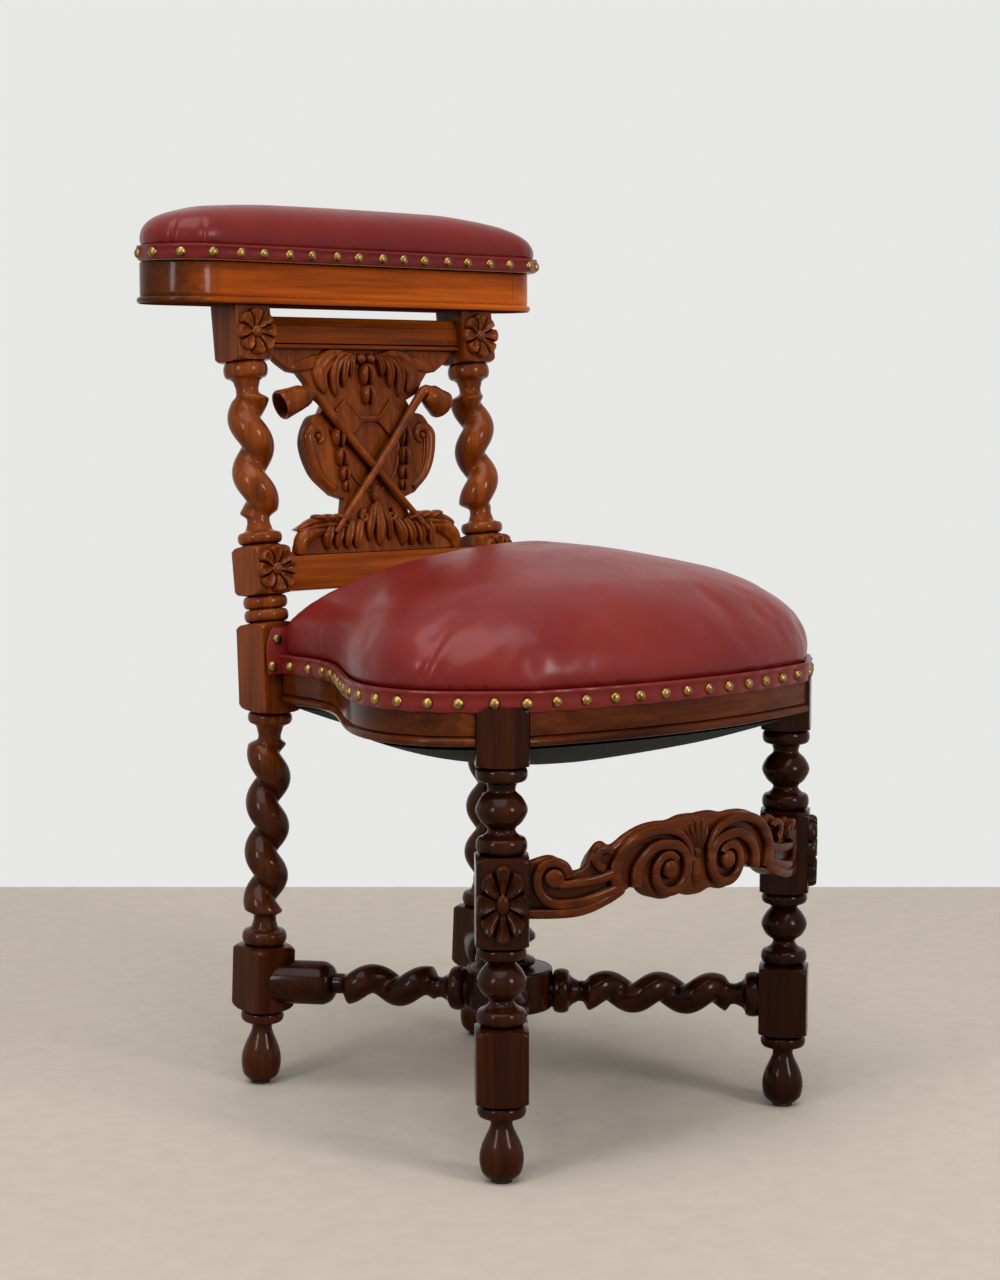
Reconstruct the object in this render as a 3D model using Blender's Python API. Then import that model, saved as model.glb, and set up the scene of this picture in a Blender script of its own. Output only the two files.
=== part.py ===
"""A carved smoker's chair with a sprung leather seat and a padded lid over a tobacco box.

The sitter straddles it facing the back. Metres, +Z up, front towards -Y, left towards -X.
"""

import math
from bisect import bisect_right
from collections import namedtuple

import bmesh
import bpy
from mathutils import Matrix, Vector
from mathutils.geometry import interpolate_bezier

# Clearance between pieces that are seated on or glued to each other
GAP = 0.0003
# How far a joined helper reaches into its piece
LAP = 0.006
# Neighbouring facets that bend less than this are one facet
FLAT = math.radians(1.5)

# Plan of the legs and the rake of the rear posts
FRONT_LEG_X = 0.1714
FRONT_LEG_Y = -0.1785
REAR_POST_X = 0.136
REAR_POST_Y = 0.1785
BEND_Z = 0.390
LOWER_RAKE = 0.0565
UPPER_RAKE = 0.1287
BACK_ANGLE = math.atan(UPPER_RAKE)

# Turned members
SIDES = 12
ARM_SIDES = 8
LEG_SIDE = 0.0435
POST_SIDE = 0.0425
BACK_BLOCK = 0.040
BLOCK_EASE = 0.008
GLIDE_RADIUS = 0.009
GLIDE_HEIGHT = 0.003
NECK = 0.0105

# Rope twists: a strand of this radius winds round the axis at this offset
STRAND = 0.0150
STRAND_OFFSET = 0.0055
ARM_STRAND = 0.0135
ROPE_STEPS = 6
ROPE_LIP = 0.13
LEG_ROPE = (0.1600, 0.3275)
LEG_PITCH = 0.0463
BACK_ROPE = (0.5290, 0.6450)
BACK_PITCH = 0.0498
# The ridge's angle at a post rope's foot, from straight behind towards the chair's middle
LEG_CREST = math.radians(-169)
BACK_CREST = math.radians(2)

# Seat frame: its outline at the rail's face, and the rail's section
SEAT_HALF = 0.237
SEAT_FRONT = -0.229
WAIST_HALF = 0.139
WAIST_Y = 0.120
WIDE_Y = -0.105
RAIL_LOW = 0.362
RAIL_HIGH = 0.4042
RAIL_THICK = 0.028
RAIL_INSET = 0.004
BEAD = 0.0028
BAND_LOW = 0.390
BAND_HIGH = 0.4050
LEATHER = 0.002
BACK_RAIL_THICK = 0.024

# Seat upholstery
CROWN_Z = 0.512
CROWN_Y = -0.045
REAR_FALL = 0.45
FRONT_FALL = 0.15
FRONT_RUN = 0.24
FRONT_SHOULDER = 0.70
HOLLOW_Z = 0.478
STRAP_WIDTH = 0.050
STRAP_THICK = 0.0016
STRAP_PITCH = 0.078
WEAVE = 0.0020
COVER_SAG = 0.037
COVER_THICK = 0.0015
SPRING_WIRE = 0.0016
SPRING_RADIUS = 0.034
SPRING_WAIST = 0.025
SPRING_TURNS = 3
SPRING_POINTS = 8
# Each spring's x, y, height and the angle at which its first curl starts, on a raised strap
MIDDLE_SPRING = (0.0, CROWN_Y, 0.108, math.pi / 2)
FRONT_SPRING = (0.085, -0.100, 0.072, -math.pi / 2)
REAR_SPRING = (0.062, 0.040, 0.072, 0.0)

# Back panel, in heights along the raked posts above the bend
UPPER_RAIL = (0.297, 0.327)
LOWER_RAIL = (0.072, 0.104)
BACK_RAIL = 0.022
SPLAT_THICK = 0.010
RELIEF = 0.0035
LEAF_SINK = 0.0006
CARVED_SIDES = 6
SCROLL_STEPS = 8
TONGUE = (0.150, 0.006, 0.007)
ROSETTE_RADIUS = 0.0215
ROSETTE_RISE = 0.007
LEG_ROSETTE_Z = 0.2347
LEG_ROSETTE_STRETCH = 1.52
BACK_ROSETTES = (0.0930, 0.3105)

# Crossed pipes: bowl mouth, heel and stem end on the back panel, and radii from the mouth to the end
PIPE_MOUTH = (0.108, 0.2440)
PIPE_HEEL = (0.068, 0.2530)
PIPE_END = (-0.0565, 0.1240)
PIPE_RADII = (0.0132, 0.0122, 0.0100, 0.0047, 0.0038, 0.0034, 0.0030, 0.0025)
PIPE_SIDES = 10

# Stretchers
STRETCHER_Z = 0.1015
REAR_ARM_Z = 0.0975
HUB_Y = 0.0022
HUB_RADIUS = 0.0395
HUB_LOW = 0.0835
HUB_HIGH = 0.1230
FINIAL_RADIUS = 0.0230
FINIAL_HEIGHT = 0.0430
ARM_RING = 0.0203
ARM_NECK = 0.0094
ARM_PEG = 0.0065
PEG_LENGTH = 0.012
# Ropes of the arms, by distance from the hub: where each starts, where its ridge is uppermost, its pitch
ARM_ROPE_START = 0.0665
FRONT_ARM_CREST = 0.0870
FRONT_ARM_PITCH = 0.0480
REAR_ARM_CREST = 0.0801
REAR_ARM_PITCH = 0.0511
REAR_ROPE_END = 0.1585
FRONT_BOW_Y = -0.227
FRONT_STRETCHER = 0.024
STRETCHER_FALL = 0.010
STRETCHER_TENON = (0.2340, 0.2540)
STRETCHER_EASE = 0.004
STRETCHER_RELIEF = 0.003
SCROLL_SETBACK = 0.0010

# Tobacco box and its lid
BOX_HALF = 0.2237
BOX_RADIUS = 0.045
BOX_Y = 0.241
BOX_LOW = 0.7253
BOX_FLOOR = 0.009
BOX_HIGH = 0.763
BOX_WALL = 0.009
BOX_LIP = 0.003
LID_OVERHANG = 0.0055
LID_END_OVERHANG = 0.0040
LID_BOARD = 0.014
LID_PAD = 0.0407
# How much of its height the pad loses at its ends, and over what length
LID_END_FALL = 0.37
LID_END_RUN = 0.125
STADIUM_ARC = 10
HINGE_X = 0.120
HINGE_LENGTH = 0.044
HINGE_KNUCKLE = 0.015
LEAF_HEIGHT = 0.013
LEAF_THICK = 0.0015
BARREL = 0.003
PIN_RADIUS = 0.0016
PIN_PLAY = 0.0001
PIN_SIDES = 12

# Mortise and tenon joints
TENON_THICK = 0.009
TENON_LENGTH = 0.013
RAIL_TENON_SHARE = 0.6
POST_TENON_SHARE = 0.6
POST_TENON_RISE = 0.0063
SEAT_TENON = (0.3680, 0.3865)
REAR_TENON = (0.3720, 0.3950)

# Values that follow from the sizes above
LEG_REACH = LEG_SIDE / 2
POST_REACH = POST_SIDE / 2
REAR_FOOT_Y = REAR_POST_Y + LOWER_RAKE * (BEND_Z - REAR_ARM_Z)
DIAGONAL = math.atan2(FRONT_LEG_X + REAR_POST_X, REAR_FOOT_Y - FRONT_LEG_Y)
BOX_BACK = BOX_Y + BOX_RADIUS
LID_Y = BOX_Y - LID_OVERHANG
LID_RADIUS = BOX_RADIUS + LID_OVERHANG - LEATHER - GAP
LID_HALF = BOX_HALF + LID_END_OVERHANG - LEATHER - GAP
LID_LOW = BOX_HIGH + GAP
LID_HIGH = LID_LOW + LID_BOARD
LID_CROWN = LID_HIGH + LID_PAD
HINGE_Y = BOX_BACK + GAP + BARREL
HINGE_Z = BOX_HIGH + GAP / 2
FRONT_EDGE = FRONT_BOW_Y - FRONT_STRETCHER / 2 + SCROLL_SETBACK
BACK_EDGE = HINGE_Y + BARREL
MIDDLE_Y = (FRONT_EDGE + BACK_EDGE) / 2
BACK_FRAME = Matrix.Translation((0, REAR_POST_Y, BEND_Z)) @ Matrix.Rotation(-BACK_ANGLE, 4, "X")
UP = Vector((0, 0, 1))
SIDE_NAME = {-1: "left", 1: "right"}


def clear_scene():
    for thing in list(bpy.data.objects):
        bpy.data.objects.remove(thing)


def make_collection(name, hidden=False):
    made = bpy.data.collections.new(name)
    made.hide_render = hidden
    bpy.context.scene.collection.children.link(made)
    return made


clear_scene()
CHAIR = make_collection("smokers_chair")
CUTTERS = make_collection("cutters", hidden=True)


def make_empty(name, location, parent=None):
    empty = bpy.data.objects.new(name, None)
    CHAIR.objects.link(empty)
    empty.location = location
    empty.parent = parent
    return empty


ROOT = make_empty("chair_origin", (0, -MIDDLE_Y, 0))
LID_PIVOT = make_empty("lid_pivot", (0, HINGE_Y, HINGE_Z), ROOT)


def make_material(name, colour, roughness, metallic=0.0):
    made = bpy.data.materials.new(name)
    made.use_nodes = True
    shader = made.node_tree.nodes["Principled BSDF"]
    shader.inputs["Base Color"].default_value = (*colour, 1)
    shader.inputs["Roughness"].default_value = roughness
    shader.inputs["Metallic"].default_value = metallic
    return made


OAK = make_material("varnished_oak", (0.19, 0.055, 0.016), 0.28)
LIGHT_OAK = make_material("honey_oak", (0.36, 0.125, 0.028), 0.25)
PINE = make_material("softwood", (0.55, 0.38, 0.20), 0.60)
HIDE = make_material("burgundy_leather", (0.27, 0.030, 0.030), 0.42)
BRASS = make_material("aged_brass", (0.42, 0.27, 0.09), 0.38, 1.0)
STEEL = make_material("spring_steel", (0.35, 0.35, 0.36), 0.45, 1.0)
IRON = make_material("dark_iron", (0.05, 0.05, 0.05), 0.50, 1.0)
JUTE = make_material("jute_webbing", (0.42, 0.32, 0.18), 0.90)
BLACK_CLOTH = make_material("black_cloth", (0.015, 0.015, 0.015), 0.95)


def keep(thing, material, parent=ROOT):
    """Puts a finished piece, drawn in chair coordinates, under its empty."""
    CHAIR.objects.link(thing)
    thing.data.materials.append(material)
    thing.parent = parent
    if parent is not ROOT:
        thing.matrix_parent_inverse = Matrix.Translation(parent.location).inverted()
    return thing


def keep_helper(thing):
    CUTTERS.objects.link(thing)
    thing.parent = ROOT
    thing.hide_render = True
    thing.display_type = "WIRE"
    return thing


def to_object(name, shape):
    bmesh.ops.recalc_face_normals(shape, faces=shape.faces)
    mesh = bpy.data.meshes.new(name)
    shape.to_mesh(mesh)
    shape.free()
    return bpy.data.objects.new(name, mesh)


def skin(shape, low, high):
    """Joins two rings, splitting each bent facet along its shorter diagonal."""
    for i in range(len(low)):
        j = (i + 1) % len(low)
        a, b, c, d = low[i], low[j], high[j], high[i]
        bend = (b.co - a.co).cross(d.co - a.co).dot(c.co - a.co)
        if abs(bend) < 1e-12:
            shape.faces.new((a, b, c, d))
        elif (b.co - d.co).length < (a.co - c.co).length:
            shape.faces.new((a, b, d))
            shape.faces.new((b, c, d))
        else:
            shape.faces.new((a, b, c))
            shape.faces.new((a, c, d))


def strip_cap(shape, row, fold):
    """Closes a ring by strips from side to side; its two sides mirror each other about the point at fold."""
    for k in range(len(row) // 2):
        near = (row[(fold + k) % len(row)], row[(fold + k + 1) % len(row)])
        far = (row[fold - k - 1], row[fold - k])
        shape.faces.new(dict.fromkeys((*near, *far)))


def loft(name, rings, closed=False, fold=None):
    """Skins rings that all have the same number of points, with a cap at each end."""
    shape = bmesh.new()
    rows = [[shape.verts.new(point) for point in ring] for ring in rings]
    for low, high in zip(rows, rows[1:]):
        skin(shape, low, high)
    if closed:
        skin(shape, rows[-1], rows[0])
    else:
        shape.faces.new(rows[0])
        if fold is None:
            shape.faces.new(rows[-1])
        else:
            strip_cap(shape, rows[-1], fold)
    return to_object(name, shape)


def boxes(name, frames):
    """One helper made of unit cubes, each carried by its own frame."""
    shape = bmesh.new()
    for frame in frames:
        bmesh.ops.create_cube(shape, size=1, matrix=frame)
    return keep_helper(to_object(name, shape))


def rods(name, frames, radius, sides):
    """One helper made of round rods, one metre long in each frame's own Z."""
    shape = bmesh.new()
    for frame in frames:
        bmesh.ops.create_cone(
            shape, cap_ends=True, segments=sides, radius1=radius, radius2=radius, depth=1, matrix=frame
        )
    return keep_helper(to_object(name, shape))


def combine(thing, helper, operation):
    modifier = thing.modifiers.new(helper.name, "BOOLEAN")
    modifier.operation = operation
    modifier.solver = "EXACT"
    modifier.object = helper
    return thing


def join_flat_facets(thing):
    modifier = thing.modifiers.new("flat_facets", "DECIMATE")
    modifier.decimate_type = "DISSOLVE"
    modifier.angle_limit = FLAT
    return thing


def facing(origin, direction, up=UP):
    """A frame at the origin whose X runs along the direction."""
    ahead = Vector(direction).normalized()
    side = up.cross(ahead).normalized()
    frame = Matrix((ahead, side, ahead.cross(side))).transposed().to_4x4()
    frame.translation = origin
    return frame


def tenon(face, direction, width, height, length=TENON_LENGTH, spare=0.0, up=UP):
    """A block that starts LAP behind a shoulder and runs into its mortise, larger by the spare."""
    reach = LAP + length + spare
    frame = facing(face, direction, up)
    middle = Matrix.Translation(((length + spare - LAP) / 2, 0, 0))
    size = Matrix.Diagonal((reach, width + 2 * spare, height + 2 * spare, 1))
    return frame @ middle @ size


def blend(a, b, share):
    return a + (b - a) * share


def mirrored(points):
    return [Vector((-point.x, *point[1:])) for point in points]


def rope_section(strand, offset, pitch, sides):
    """Radii, from the ridge round to the ridge again, of a round strand wound round the axis."""
    turns = [k / 60 * math.pi for k in range(-60, 61)]
    helix = [Vector((offset * math.cos(t), offset * math.sin(t), pitch * t / (2 * math.pi))) for t in turns]
    radii = []
    for i in range(sides):
        angle = 2 * math.pi * i / sides
        ray = Vector((math.cos(angle), math.sin(angle), 0))
        inside, outside = 0.0, strand + offset + GAP
        for _ in range(24):
            middle = (inside + outside) / 2
            nearest = min((ray * middle - point).length for point in helix)
            inside, outside = (middle, outside) if nearest <= strand else (inside, middle)
        radii.append(inside)
    return radii


class Turning:
    """The rings of a turned member, from its foot upwards, as (height, [(angle, radius)])."""

    def __init__(self, sides=SIDES):
        self.rings = []
        self.sides = sides
        self.step = 2 * math.pi / sides
        self.phase = self.step / 2

    def add(self, z, radius_at):
        angles = [self.phase + i * self.step for i in range(self.sides)]
        self.rings.append((z, [(angle, radius_at(angle)) for angle in angles]))

    def round(self, *stations):
        for z, radius in stations:
            self.add(z, lambda angle: radius)

    def ring(self, z, radius, half=0.0055):
        """A torus moulding between two quirks."""
        quirk = radius * 0.76
        self.round((z - half, quirk), (z - half * 0.35, radius), (z + half * 0.35, radius), (z + half, quirk))

    def square(self, z, side, reach=1.0):
        half = side / 2
        self.add(z, lambda angle: min(half / max(abs(math.cos(angle)), abs(math.sin(angle))), reach))

    def block(self, low, high, side):
        """A square left by the lathe, with its corners turned off at both ends."""
        turned_off = side / 2 * 1.04
        self.square(low, side, turned_off)
        self.square(low + BLOCK_EASE, side)
        self.square(high - BLOCK_EASE, side)
        self.square(high, side, turned_off)

    def rope(self, low, high, pitch, hand, crest, strand, neck):
        """A strand wound from low to high, whose ridge stands at the angle crest at its foot."""
        turns = (high - low) / pitch
        section = rope_section(strand, STRAND_OFFSET, pitch, self.sides)
        count = round(turns * ROPE_STEPS)
        shift = round((self.phase - crest) / self.step)
        for k in range(count + 1):
            share = k / count
            grown = min(1.0, min(share, 1 - share) * turns / ROPE_LIP)
            self.phase = crest + shift * self.step + hand * 2 * math.pi * turns * share
            radii = [blend(neck, section[(i + shift) % self.sides], grown) for i in range(self.sides)]
            ring = [(self.phase + i * self.step, radius) for i, radius in enumerate(radii)]
            self.rings.append((blend(low, high, share), ring))
        self.phase = self.step * (0.5 + round(self.phase / self.step - 0.5))

    def points(self, place):
        rows = []
        for z, ring in self.rings:
            rows.append([place(z, r * math.cos(angle), r * math.sin(angle)) for angle, r in ring])
        return rows


def rear_axis_y(z):
    if z < BEND_Z:
        return REAR_POST_Y + LOWER_RAKE * (BEND_Z - z)
    return REAR_POST_Y + UPPER_RAKE * (z - BEND_Z)


def rear_tilt(z):
    """The lean of a ring on the rear post. The foot and the top are cut level."""
    if z < 2 * GLIDE_HEIGHT or z > BOX_LOW - BLOCK_EASE:
        return 0.0
    return math.atan(UPPER_RAKE) if z > BEND_Z else -math.atan(LOWER_RAKE)


def front_leg(side):
    leg = Turning()
    leg.round((GLIDE_HEIGHT, 0.0110), (0.0090, 0.0165), (0.0205, 0.0184))
    leg.round((0.0320, 0.0162), (0.0470, 0.0093), (0.0530, 0.0105))
    leg.ring(0.0600, 0.0202)
    leg.block(0.0670, 0.1294, LEG_SIDE)
    leg.ring(0.1380, 0.0206, 0.0065)
    leg.round((0.1525, 0.0100), (0.1580, 0.0165), (0.1670, 0.0205), (0.1755, 0.0175), (0.1820, 0.0113))
    leg.ring(0.1915, 0.0205, 0.0052)
    leg.block(0.1974, 0.2719, LEG_SIDE)
    leg.ring(0.2795, 0.0210, 0.0070)
    leg.round((0.2895, 0.0125), (0.2935, 0.0115), (0.2993, 0.0172), (0.3086, 0.0213))
    leg.round((0.3180, 0.0172), (0.3240, 0.0115), (0.3300, 0.0125))
    leg.ring(0.3380, 0.0212, 0.0062)
    leg.block(0.3447, BAND_LOW - GAP, LEG_SIDE)
    stub = LEG_SIDE - 2 * (RAIL_INSET + GAP)
    leg.square(BAND_LOW, stub)
    leg.square(RAIL_HIGH, stub)
    turn = Matrix.Rotation(side * DIAGONAL, 3, "Z")
    foot = Vector((side * FRONT_LEG_X, FRONT_LEG_Y, 0))
    rings = leg.points(lambda z, x, y: foot + turn @ Vector((x, y, z)))
    return loft(f"front_leg_{SIDE_NAME[side]}", rings)


def rear_post(side):
    post = Turning()
    post.round((GLIDE_HEIGHT, 0.0110), (0.0095, 0.0165), (0.0225, 0.0185))
    post.round((0.0345, 0.0162), (0.0515, 0.0095), (0.0580, 0.0105))
    post.ring(0.0650, 0.0200)
    post.block(0.0716, 0.1322, POST_SIDE)
    post.ring(0.1405, 0.0208, 0.0065)
    post.round((0.1495, 0.0125), (0.1560, NECK))
    post.rope(*LEG_ROPE, LEG_PITCH, side, math.pi / 2 + side * LEG_CREST, STRAND, NECK)
    post.round((0.3310, NECK), (0.3385, 0.0125))
    post.ring(0.3470, 0.0205)
    post.block(0.3539, 0.4339, POST_SIDE)
    post.ring(0.4408, 0.0204, 0.0058)
    post.ring(0.4530, 0.0204, 0.0058)
    post.block(0.4600, 0.5042, BACK_BLOCK)
    post.ring(0.5115, 0.0205)
    post.round((0.5190, 0.0125), (0.5255, NECK))
    post.rope(*BACK_ROPE, BACK_PITCH, side, math.pi / 2 + side * BACK_CREST, STRAND, NECK)
    post.round((0.6485, NECK), (0.6550, 0.0125))
    post.ring(0.6651, 0.0205, 0.0074)
    top = BOX_LOW - GAP
    post.square(0.6728, BACK_BLOCK, BACK_BLOCK * 0.52)
    post.square(0.6728 + BLOCK_EASE, BACK_BLOCK)
    post.square(top - BLOCK_EASE, BACK_BLOCK)
    post.square(top, BACK_BLOCK)
    post.square(top + GAP, BACK_BLOCK * POST_TENON_SHARE)
    post.square(top + POST_TENON_RISE, BACK_BLOCK * POST_TENON_SHARE)

    def place(z, x, y):
        tilt = rear_tilt(z)
        axis_y = rear_axis_y(min(z, BOX_LOW))
        return Vector((side * REAR_POST_X + x, axis_y + y * math.cos(tilt), z - y * math.sin(tilt)))

    return loft(f"rear_post_{SIDE_NAME[side]}", post.points(place))


def leg_directions(side):
    """The outward diagonal of a front leg and the way from it along the side rail."""
    out = Vector((side * math.sin(DIAGONAL), -math.cos(DIAGONAL), 0))
    along = Vector((side * math.cos(DIAGONAL), math.sin(DIAGONAL), 0))
    return out, along


def leg_axis(side, z=0.0):
    return Vector((side * FRONT_LEG_X, FRONT_LEG_Y, z))


def with_normals(points, first, last):
    """Adds the outward normal to each point of a path, with the two end normals given."""
    stations = [(points[0], first)]
    for before, here, after in zip(points, points[1:], points[2:]):
        run = (after - before).normalized()
        stations.append((here, Vector((run.y, -run.x, 0))))
    stations.append((points[-1], last))
    return stations


def side_stations():
    """The left rail's face from the rear post to the front leg."""
    out, along = leg_directions(-1)
    rear = Vector((-WAIST_HALF, REAR_POST_Y - POST_REACH - 2 * GAP, 0))
    waist = Vector((-WAIST_HALF, WAIST_Y, 0))
    wide = Vector((-SEAT_HALF, WIDE_Y, 0))
    ease = Vector((0, 0.35 * (WAIST_Y - WIDE_Y), 0))
    leg = leg_axis(-1) + out * (LEG_REACH - RAIL_INSET) + along * (LEG_REACH + GAP)
    ogee = interpolate_bezier(waist, waist - ease, wide + ease, wide, 9)
    corner = interpolate_bezier(wide, wide - ease * 0.45, leg + along * 0.025, leg, 6)
    return with_normals([rear, *ogee, *corner[1:]], Vector((-1, 0, 0)), out)


def front_stations():
    """The front rail's face from the left leg to the right one."""
    out, along = leg_directions(-1)
    leg = leg_axis(-1) + out * (LEG_REACH - RAIL_INSET) - along * (LEG_REACH + GAP)
    middle = Vector((0, SEAT_FRONT, 0))
    half = interpolate_bezier(leg, leg + Vector((0.05, -0.0125, 0)), middle - Vector((0.07, 0, 0)), middle, 7)
    right = mirrored(reversed(half[:-1]))
    return with_normals([*half, *right], out, Vector((-out.x, out.y, 0)))


def flipped(stations):
    """The same run on the other side of the chair, from front to rear."""
    return [(Vector((-p.x, p.y, p.z)), Vector((-n.x, n.y, n.z))) for p, n in reversed(stations)]


def sweep(name, stations, profile, closed=False):
    """Carries a section of (depth behind the face, height) along a run of stations."""
    rings = [[point - normal * depth + UP * z for depth, z in profile] for point, normal in stations]
    return loft(name, rings, closed)


RAIL_PROFILE = (
    (RAIL_THICK, RAIL_HIGH),
    (0.0, RAIL_HIGH),
    (0.0, RAIL_LOW + 0.0085),
    (0.0015, RAIL_LOW + 0.0074),
    (-BEAD * 0.7, RAIL_LOW + 0.0062),
    (-BEAD, RAIL_LOW + 0.0035),
    (-BEAD * 0.5, RAIL_LOW + 0.0008),
    (BEAD, RAIL_LOW),
    (RAIL_THICK, RAIL_LOW),
)


def middle_of(span):
    return (span[0] + span[1]) / 2


def height_of(span):
    return span[1] - span[0]


def side_rail_joints(side, spare=0.0):
    """The side rail's tenons: one into the front leg, one into the rear post."""
    out, along = leg_directions(side)
    depth = LEG_REACH - RAIL_INSET - RAIL_THICK / 2
    front = leg_axis(side, middle_of(SEAT_TENON)) + out * depth + along * (LEG_REACH + GAP)
    rear_x = side * (WAIST_HALF - RAIL_THICK / 2)
    rear = Vector((rear_x, REAR_POST_Y - POST_REACH - 2 * GAP, middle_of(REAR_TENON)))
    into_leg = tenon(front, -along, TENON_THICK, height_of(SEAT_TENON), spare=spare)
    into_post = tenon(rear, (0, 1, 0), TENON_THICK, height_of(REAR_TENON), spare=spare)
    return into_leg, into_post


def front_rail_joint(side, spare=0.0):
    out, along = leg_directions(side)
    depth = LEG_REACH - RAIL_INSET - RAIL_THICK / 2
    face = leg_axis(side, middle_of(SEAT_TENON)) + out * depth - along * (LEG_REACH + GAP)
    return tenon(face, along, TENON_THICK, height_of(SEAT_TENON), spare=spare)


def back_seat_rail_joint(side, spare=0.0):
    face = Vector((side * (REAR_POST_X - POST_REACH - GAP), REAR_POST_Y + 0.002, middle_of(REAR_TENON)))
    return tenon(face, (side, 0, 0), TENON_THICK, height_of(REAR_TENON), spare=spare)


def back_panel_joint(side, span, spare=0.0):
    """The tenon of an upper or lower back rail, along the raked back."""
    face = BACK_FRAME @ Vector((side * (REAR_POST_X - BACK_BLOCK / 2 - GAP), 0, middle_of(span)))
    lean = BACK_FRAME.to_3x3() @ UP
    return tenon(face, (side, 0, 0), TENON_THICK, height_of(span) * RAIL_TENON_SHARE, spare=spare, up=lean)


def front_stretcher_joint(side, spare=0.0):
    out, along = leg_directions(side)
    face = leg_axis(side, middle_of(STRETCHER_TENON)) - along * (LEG_REACH + GAP)
    return tenon(face, along, TENON_THICK, height_of(STRETCHER_TENON), spare=spare)


HUB_CENTRE = Vector((0, HUB_Y, STRETCHER_Z))


def arm_end(side, near):
    """Where an arm's axis meets its leg or post."""
    return leg_axis(side, STRETCHER_Z) if near else Vector((side * REAR_POST_X, REAR_FOOT_Y, REAR_ARM_Z))


def arm_pegs(side, near, spare=0.0):
    """Round pegs of an arm: one in the hub, one in the leg block."""
    toward = arm_end(side, near) - HUB_CENTRE
    stop = toward.length - (LEG_REACH if near else POST_REACH * 1.3)
    frames = []
    for start, way in ((HUB_RADIUS, -1), (stop, 1)):
        length = LAP + PEG_LENGTH + spare
        middle = start + way * (length / 2 - LAP)
        frame = facing(HUB_CENTRE + toward.normalized() * middle, toward)
        frame = frame @ Matrix.Rotation(math.pi / 2, 4, "Y")
        frames.append(frame @ Matrix.Diagonal((1, 1, length, 1)))
    return frames


def build_posts_and_legs():
    for side in (-1, 1):
        leg = keep(front_leg(side), OAK)
        slots = [side_rail_joints(side, GAP)[0], front_rail_joint(side, GAP)]
        slots.append(front_stretcher_joint(side, GAP))
        combine(leg, boxes(f"leg_mortises_{SIDE_NAME[side]}", slots), "DIFFERENCE")
        holes = arm_pegs(side, True, GAP)[1:]
        combine(leg, rods(f"leg_peg_hole_{SIDE_NAME[side]}", holes, ARM_PEG + GAP, SIDES), "DIFFERENCE")
        join_flat_facets(leg)
        post = keep(rear_post(side), OAK)
        slots = [side_rail_joints(side, GAP)[1], back_seat_rail_joint(side, GAP)]
        slots += [back_panel_joint(side, span, GAP) for span in (UPPER_RAIL, LOWER_RAIL)]
        combine(post, boxes(f"post_mortises_{SIDE_NAME[side]}", slots), "DIFFERENCE")
        holes = arm_pegs(side, False, GAP)[1:]
        combine(post, rods(f"post_peg_hole_{SIDE_NAME[side]}", holes, ARM_PEG + GAP, SIDES), "DIFFERENCE")
        join_flat_facets(post)


def build_glides():
    feet = {"front": FRONT_LEG_Y, "rear": rear_axis_y(0.0)}
    spread = {"front": FRONT_LEG_X, "rear": REAR_POST_X}
    for place, y in feet.items():
        for side in (-1, 1):
            shape = bmesh.new()
            middle = Matrix.Translation((side * spread[place], y, (GLIDE_HEIGHT - GAP) / 2))
            bmesh.ops.create_cone(
                shape,
                cap_ends=True,
                segments=SIDES,
                radius1=GLIDE_RADIUS,
                radius2=GLIDE_RADIUS,
                depth=GLIDE_HEIGHT - GAP,
                matrix=middle,
            )
            keep(to_object(f"glide_{place}_{SIDE_NAME[side]}", shape), IRON)


def block_piece(name, centre, size, frame=Matrix()):
    shape = bmesh.new()
    placed = frame @ Matrix.Translation(centre) @ Matrix.Diagonal((*size, 1))
    bmesh.ops.create_cube(shape, size=1, matrix=placed)
    return to_object(name, shape)


def build_seat_rails():
    runs = {-1: side_stations(), 1: flipped(side_stations())}
    for side, run in runs.items():
        rail = keep(sweep(f"side_rail_{SIDE_NAME[side]}", run, RAIL_PROFILE), OAK)
        combine(rail, boxes(f"side_tenons_{SIDE_NAME[side]}", side_rail_joints(side)), "UNION")
    rail = keep(sweep("front_rail", front_stations(), RAIL_PROFILE), OAK)
    combine(rail, boxes("front_tenons", [front_rail_joint(side) for side in (-1, 1)]), "UNION")
    half = REAR_POST_X - POST_REACH - GAP
    size = (2 * half, BACK_RAIL_THICK, RAIL_HIGH - RAIL_LOW)
    centre = (0, REAR_POST_Y + 0.001, (RAIL_LOW + RAIL_HIGH) / 2)
    rail = keep(block_piece("back_seat_rail", centre, size), OAK)
    combine(rail, boxes("back_seat_tenons", [back_seat_rail_joint(side) for side in (-1, 1)]), "UNION")


def tongue_slot(span_edge, way, spare=0.0):
    """The splat's tongue where it runs up or down into a back rail."""
    width, thick, rise = TONGUE
    height = rise + LAP + spare
    middle = span_edge + way * (height / 2 - LAP)
    size = Matrix.Diagonal((width + 2 * spare, thick + 2 * spare, height, 1))
    return BACK_FRAME @ Matrix.Translation((0, 0, middle)) @ size


def build_back_rails():
    half = REAR_POST_X - BACK_BLOCK / 2 - GAP
    for name, span, edge, way in (
        ("back_upper_rail", UPPER_RAIL, UPPER_RAIL[0], 1),
        ("back_lower_rail", LOWER_RAIL, LOWER_RAIL[1], -1),
    ):
        size = (2 * half, BACK_RAIL, height_of(span))
        rail = keep(block_piece(name, (0, 0, middle_of(span)), size, BACK_FRAME), OAK)
        joints = [back_panel_joint(side, span) for side in (-1, 1)]
        combine(rail, boxes(f"{name}_tenons", joints), "UNION")
        combine(rail, boxes(f"{name}_groove", [tongue_slot(edge, way, GAP)]), "DIFFERENCE")


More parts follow.
